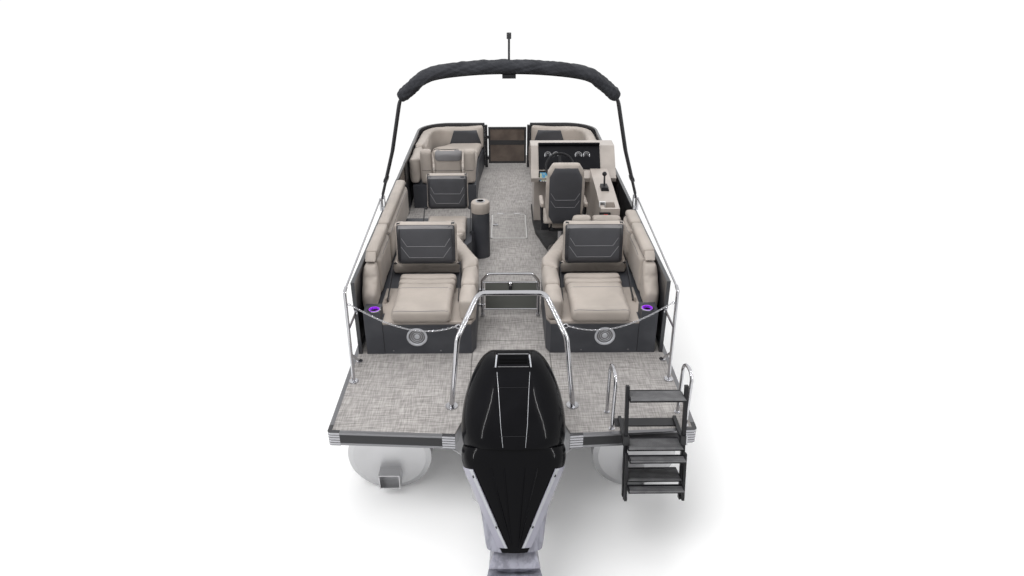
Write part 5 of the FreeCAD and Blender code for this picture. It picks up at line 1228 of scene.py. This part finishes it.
def engine_trim():
    """Silver strips and folds down the engine's V, their screws, the joints and louvres of the cowl, and thin
    silver lines down the cowl's ridges that are painted reflection streaks.
    """
    apron = Surface(NODES["engine_apron"].data)
    half, foot = 0.5, 0.65
    face = Plane(on_engine(-half, -foot, -0.5), (1.0, 0, 0), ENGINE_UP)
    strips = Shell()
    for side in (-1, 1):
        def spot(x, up):
            return side * x + half, up + foot

        outline = [spot(0.242, -0.045), spot(0.314, -0.045), spot(0.094, -0.50), spot(0.040, -0.50)]
        strips.cover(apron, face, outline, 0.007, 0, edge=0.01, rings=5, spacing=0.015)
        inner = [spot(0.243, -0.046), spot(0.264, -0.046), spot(0.056, -0.499), spot(0.041, -0.499)]
        strips.cover(apron, face, inner, 0.010, 2, edge=0.005, rings=3, spacing=0.015)
        for x, up in ((0.236, -0.085), (0.102, -0.375)):
            place = apron.touch(face.at(*spot(x, up)), face.out, 0.007)
            strips.turned(place, face.out, ((0.001, 0), (0.009, 0), (0.008, 0.003), (0.001, 0.0035)), 1, 16)
        for near, far, thick in (((0.060, -0.03), (0.018, -0.49), 0.006),
                                 ((0.135, -0.03), (0.028, -0.46), 0.008)):
            middle = tuple((a + b) / 2 for a, b in zip(near, far))
            strips.stitch(apron, face, [spot(*near), spot(*middle), spot(*far)], thick, 3, -0.45 * thick)
    strips.piece("engine_strips", "powerhead", "apron_silver", "strip", "black", "silver", "cowl")
    cowl = Surface(NODES["engine_cowl"].data)
    lines = Shell()
    high = Plane(on_engine(-half, 0.0, -0.6), (1.0, 0, 0), ENGINE_UP)
    for up, reach in ((0.155, 0.085), (0.43, 0.095)):
        lines.stitch(cowl, high, [(half - reach, up), (half + reach, up)], 0.0016, 0, 0.0004)
    # the thin silver lines down the cowl's ridges are painted reflection streaks; the short thick ones run up
    # the sides of the top handle
    for side in (-1, 1):
        for radius, line in ((0.0016, ((0.066, 0.09), (0.078, 0.22), (0.090, 0.40), (0.100, 0.52))),
                             (0.0055, ((0.108, 0.548), (0.101, 0.622)))):
            lines.stitch(cowl, high, [(half + side * x, up) for x, up in line], radius, 1)
    for up, radius in ((0.628, 0.0045), (0.552, 0.003)):
        lines.stitch(cowl, high, [(0.405, up), (0.595, up)], radius, 2)
    lines.piece("engine_cowl_joints_and_painted_streaks", "powerhead", "cowl_black", "black", "silver", "tread")


def ladder_trim():
    """Ribbed plates on the treads."""
    turn = Matrix.Translation(LADDER_FOOT) @ Matrix.Rotation(-LADDER_LEAN, 4, "X")
    left, right = STILES[0] + STILE_WIDE, STILES[1] - STILE_WIDE
    pitch, half_rib, margin = 0.017, 0.0045, 0.004
    for name, body, rows, aft, fore in (("ladder", "ladder_upper", (0.356, 0.006, -0.224), -0.046, 0.110),
                                        ("ladder_lower", "ladder_fold", (-0.264, -0.044), -0.128, -0.056)):
        plates = Shell()
        ribs = round((fore - aft) / pitch)
        for z in rows:
            plates.block((left, aft, z), (right, fore, z + 0.003), 0.001, 0, turn)
            for k in range(ribs):
                y = aft + (k + 0.5) * (fore - aft) / ribs
                plates.block((left + margin, y - half_rib, z + 0.0025),
                             (right - margin, y + half_rib, z + 0.008), 0.001, 0, turn)
        plates.piece(f"{name}_tread_plates", body, "black_parts", "tread")


def lounge_fittings():
    """Lit cup holders, speaker grilles and small screws on the stern bases."""
    cup = (((0.0405, -0.045), (0.0405, 0.001), (0.052, 0.002), (0.054, 0.004), (0.050, 0.006),
            (0.038, 0.005), (0.038, -0.042), (0.002, -0.042), (0.002, -0.045)),
           ((0.038, -0.014), (0.0395, -0.014), (0.0395, 0.0055), (0.0425, 0.0066), (0.041, 0.0076),
            (0.038, 0.007)),
           washer(0.002, 0.020, -0.0415, -0.038))
    grille = ((((0.066, -0.006), (0.079, -0.006), (0.085, 0.001), (0.084, 0.005), (0.072, 0.007),
                (0.066, 0.002)), 4, 44),
              (((0.001, -0.004), (0.067, -0.007), (0.067, -0.009), (0.001, -0.010)), 5, 36),
              *((((radius, -0.006), (radius + 0.004, -0.006), (radius + 0.003, -0.002),
                  (radius + 0.001, -0.002)), 4, 36) for radius in (0.034, 0.050)),
              (((0.001, 0.001), (0.020, -0.001), (0.024, -0.006), (0.001, -0.007)), 4, 28))
    for name, side in SIDES:
        base = Surface(NODES[f"stern_base_{name}"].data)
        parts = Shell()
        for number, profile in enumerate(cup):
            parts.turned((side * 1.107, STERN + 1.085, DECK + 0.390), UP, profile, number, 36)

        def on_front(x, up, lift=0.0):
            return base.touch(Vector((side * x, STERN + 0.9, DECK + up)), AFT, lift)

        parts.tube([on_front(1.043, rise, -0.001) for rise in (0.012, 0.1, 0.2, 0.29)], 0.003, 2, 6)
        centre = Vector((side * 0.77, on_front(0.858, 0.16).y, DECK + 0.16))
        for profile, finish, steps in grille:
            parts.turned(centre, AFT, profile, finish, steps)
        for k in range(4):
            angle = math.pi / 4 + k * math.pi / 2
            screw = centre + Vector((0.076 * math.cos(angle), -0.006, 0.076 * math.sin(angle)))
            parts.turned(screw, AFT, ((0.0005, 0), (0.0035, 0), (0.003, 0.0015), (0.0005, 0.002)), 0, 10)
        for x in (0.58, 0.97):
            parts.turned(on_front(x, 0.030), AFT, ((0.0005, -0.001), (0.006, -0.001), (0.005, 0.002),
                                                   (0.0005, 0.003)), 0, 14)
        parts.piece(f"lounge_fittings_{name}", BOAT, "chrome", "chrome", "lamp", "black", "charcoal_dark",
                    "silver", "ash")


def helm_fittings():
    """The screen in its bezel with its keys, a switch plate and the lever's tray."""
    console = Surface(NODES["console"].data, NODES["dash"].data)
    parts = Shell()

    def tile(x, y, z, half_x, half_z, back, front, rounding, finish):
        parts.block((x - half_x, y - back, z - half_z), (x + half_x, y + front, z + half_z), rounding,
                    finish)

    middle = console.touch(SCREEN, AFT)
    tile(*middle, 0.078, 0.062, 0.016, 0.010, 0.007, 0)
    tile(*middle, 0.064, 0.046, 0.018, -0.010, 0.002, 1)
    for k in range(5):
        tile(middle.x - 0.05 + 0.025 * k, middle.y, middle.z - 0.054, 0.008, 0.004, 0.019, -0.012, 0.001, 2)
    plate_x, plate_z, switch_pitch = 0.9225, 1.494, 0.017
    plate = console.touch(Vector((plate_x - 0.0005, STERN + 2.7, plate_z)), AFT)
    tile(plate_x, plate.y, plate_z, 0.0305, 0.030, 0.010, 0.006, 0.004, 2)
    for k in range(3):
        tile(plate_x, plate.y, 1.4775 + switch_pitch * k, 0.0225, 0.0055, 0.014, -0.008, 0.002, 0)
    tray = console.touch(Vector((0.938, STERN + 2.6, 1.425)), AFT)
    tile(0.939, tray.y, 1.417, 0.055, 0.031, 0.016, 0.006, 0.006, 0)
    tile(0.946, tray.y, 1.415, 0.020, 0.017, 0.022, -0.012, 0.005, 3)
    parts.piece("helm_fittings", BOAT, "black_parts", "black", "screen", "white", "red")


def gate_latch():
    """The stern gate's pull knob on its black base."""
    low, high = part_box("stern_gate")
    knob = Shell()
    place = (0, (low[1] + high[1]) / 2 - 0.012, high[2] - 0.105)
    stem = ((0.001, -0.075), (0.014, -0.073), (0.015, -0.035), (0.010, -0.028), (0.001, -0.027))
    ball = ((0.001, -0.029), (0.013, -0.022), (0.021, -0.006), (0.021, 0.008), (0.012, 0.021),
            (0.001, 0.025))
    knob.turned(place, UP, stem, 1, 24)
    knob.turned(place, UP, ball, 0, 28)
    knob.piece("stern_gate_knob", "gate_stern", "chrome", "chrome", "black")


def dash_gauges():
    """Round gauges on the hooded dash."""
    dash = Surface(NODES["dash"].data)
    low, high = (Vector(corner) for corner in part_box("dash"))
    parts = Shell()
    toward = Vector((0, -1, 0.35)).normalized()
    bezel = ((0.001, 0.0005), (0.034, 0.0005), (0.036, 0.001), (0.040, 0.006), (0.037, 0.008),
             (0.031, 0.005), (0.030, 0.0028), (0.001, 0.0028))
    for x in (0.44, 0.53, 0.78, 0.87):
        place = dash.touch(Vector((x, low.y, high.z - 0.085)), toward)
        parts.turned(place, toward, bezel, 0, 32)
        parts.turned(place, toward, washer(0.001, 0.029, 0.003, 0.0036), 1, 28)
        parts.turned(place, toward, washer(0.017, 0.024, 0.0037, 0.0042), 2, 24)
    parts.piece("dash_gauges", BOAT, "dash_black", "chrome", "black", "thread")


def hatch_fittings():
    """A flush latch on the floor hatch, in its ring."""
    low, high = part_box("floor_hatch")
    parts = Shell()
    centre = (low[0] + 0.052, (low[1] + high[1]) / 2 + 0.02, high[2])
    parts.turned(centre, UP, ((0.016, 0), (0.030, 0), (0.031, 0.002), (0.028, 0.003), (0.017, 0.003)), 0, 32)
    parts.block((centre[0] - 0.012, centre[1] - 0.005, high[2] + 0.0005),
                (centre[0] + 0.012, centre[1] + 0.005, high[2] + 0.004), 0.001, 0)
    parts.piece("hatch_latch", "hatch", "chrome", "chrome")


# ---------------------------------------------------------------- stage

def stage():
    """A pale floor, soft light and the camera behind the stern."""
    scene = bpy.context.scene
    scene.view_settings.view_transform = "Standard"
    floor_mesh = bpy.data.meshes.new("floor")
    reach = 60.0
    floor_mesh.from_pydata([(-reach, -reach, 0), (reach, -reach, 0), (reach, reach, 0), (-reach, reach, 0)],
                           [], [(0, 1, 2, 3)])
    floor = shown("floor", floor_mesh)
    f = Finish("floor_paint", (0.93, 0.93, 0.93), 0.9, Emission_Strength=1.0, Specular_IOR_Level=0.1)
    seen = f.node("ShaderNodeLightPath") + f.node("ShaderNodeLightPath", output="Is Glossy Ray")
    seen = (seen + f.node("ShaderNodeLightPath", output="Is Transmission Ray")).step(0.2, 0.8)
    x, y, _ = f.axes()
    far = ((x * x) + (y * y) * 0.4).step(6.0, 26.0)
    f.tint(far, f.blend(f.noise(0.4), (0.90, 0.90, 0.90), (0.93, 0.93, 0.93)), (0, 0, 0))
    f.feed("Emission Color", f.blend(far * seen, (0.12, 0.12, 0.12), (1, 1, 1)))
    floor_mesh.materials.append(f.material)

    world = bpy.data.worlds.new("studio")
    scene.world = world
    world.use_nodes = True
    tree = world.node_tree
    back = tree.nodes["Background"]
    back.inputs["Color"].default_value = (1, 1, 1, 1)
    path = tree.nodes.new("ShaderNodeLightPath")
    seen = Wire(tree, path.outputs["Is Camera Ray"])
    others = (Wire(tree, path.outputs[f"Is {kind} Ray"]) for kind in ("Glossy", "Transmission"))
    plug(tree, back.inputs["Strength"], seen.most(*others) * 0.45 + 0.55)

    for name, place, size, power in (("key", (-2.5, -5.0, 7.5), (5.0, 5.0), 395),
                                     ("top", (0.5, 1.5, 8.0), (6.0, 9.0), 395),
                                     ("strip_port", (-4.2, -4.5, 4.2), (0.14, 6.0), 110),
                                     ("strip_starboard", (4.2, -4.5, 4.2), (0.14, 6.0), 110)):
        data = bpy.data.lights.new(name, "AREA")
        data.shape, data.size, data.size_y, data.energy = "RECTANGLE", *size, power
        lamp = shown(name, data)
        lamp.location = place
        lamp.rotation_euler = (Vector((0, 0, 0.6)) - Vector(place)).to_track_quat("-Z", "Y").to_euler()
        lamp.visible_glossy = name.startswith("strip")
        lamp.visible_diffuse = not name.startswith("strip")

    lens = bpy.data.cameras.new("camera")
    lens.lens, lens.sensor_width, lens.clip_end = 24.0, 36.0, 200.0
    camera = shown("camera", lens)
    camera.location = (-0.05, -6.58, 3.862)
    camera.rotation_euler = (math.radians(90 - 27.3), 0, math.radians(-0.69))
    scene.camera = camera


stage()
chains()
canvas_boot()
frame_finishes()
upholstery()
engine_trim()
ladder_trim()
lounge_fittings()
helm_fittings()
dash_gauges()
gate_latch()
hatch_fittings()
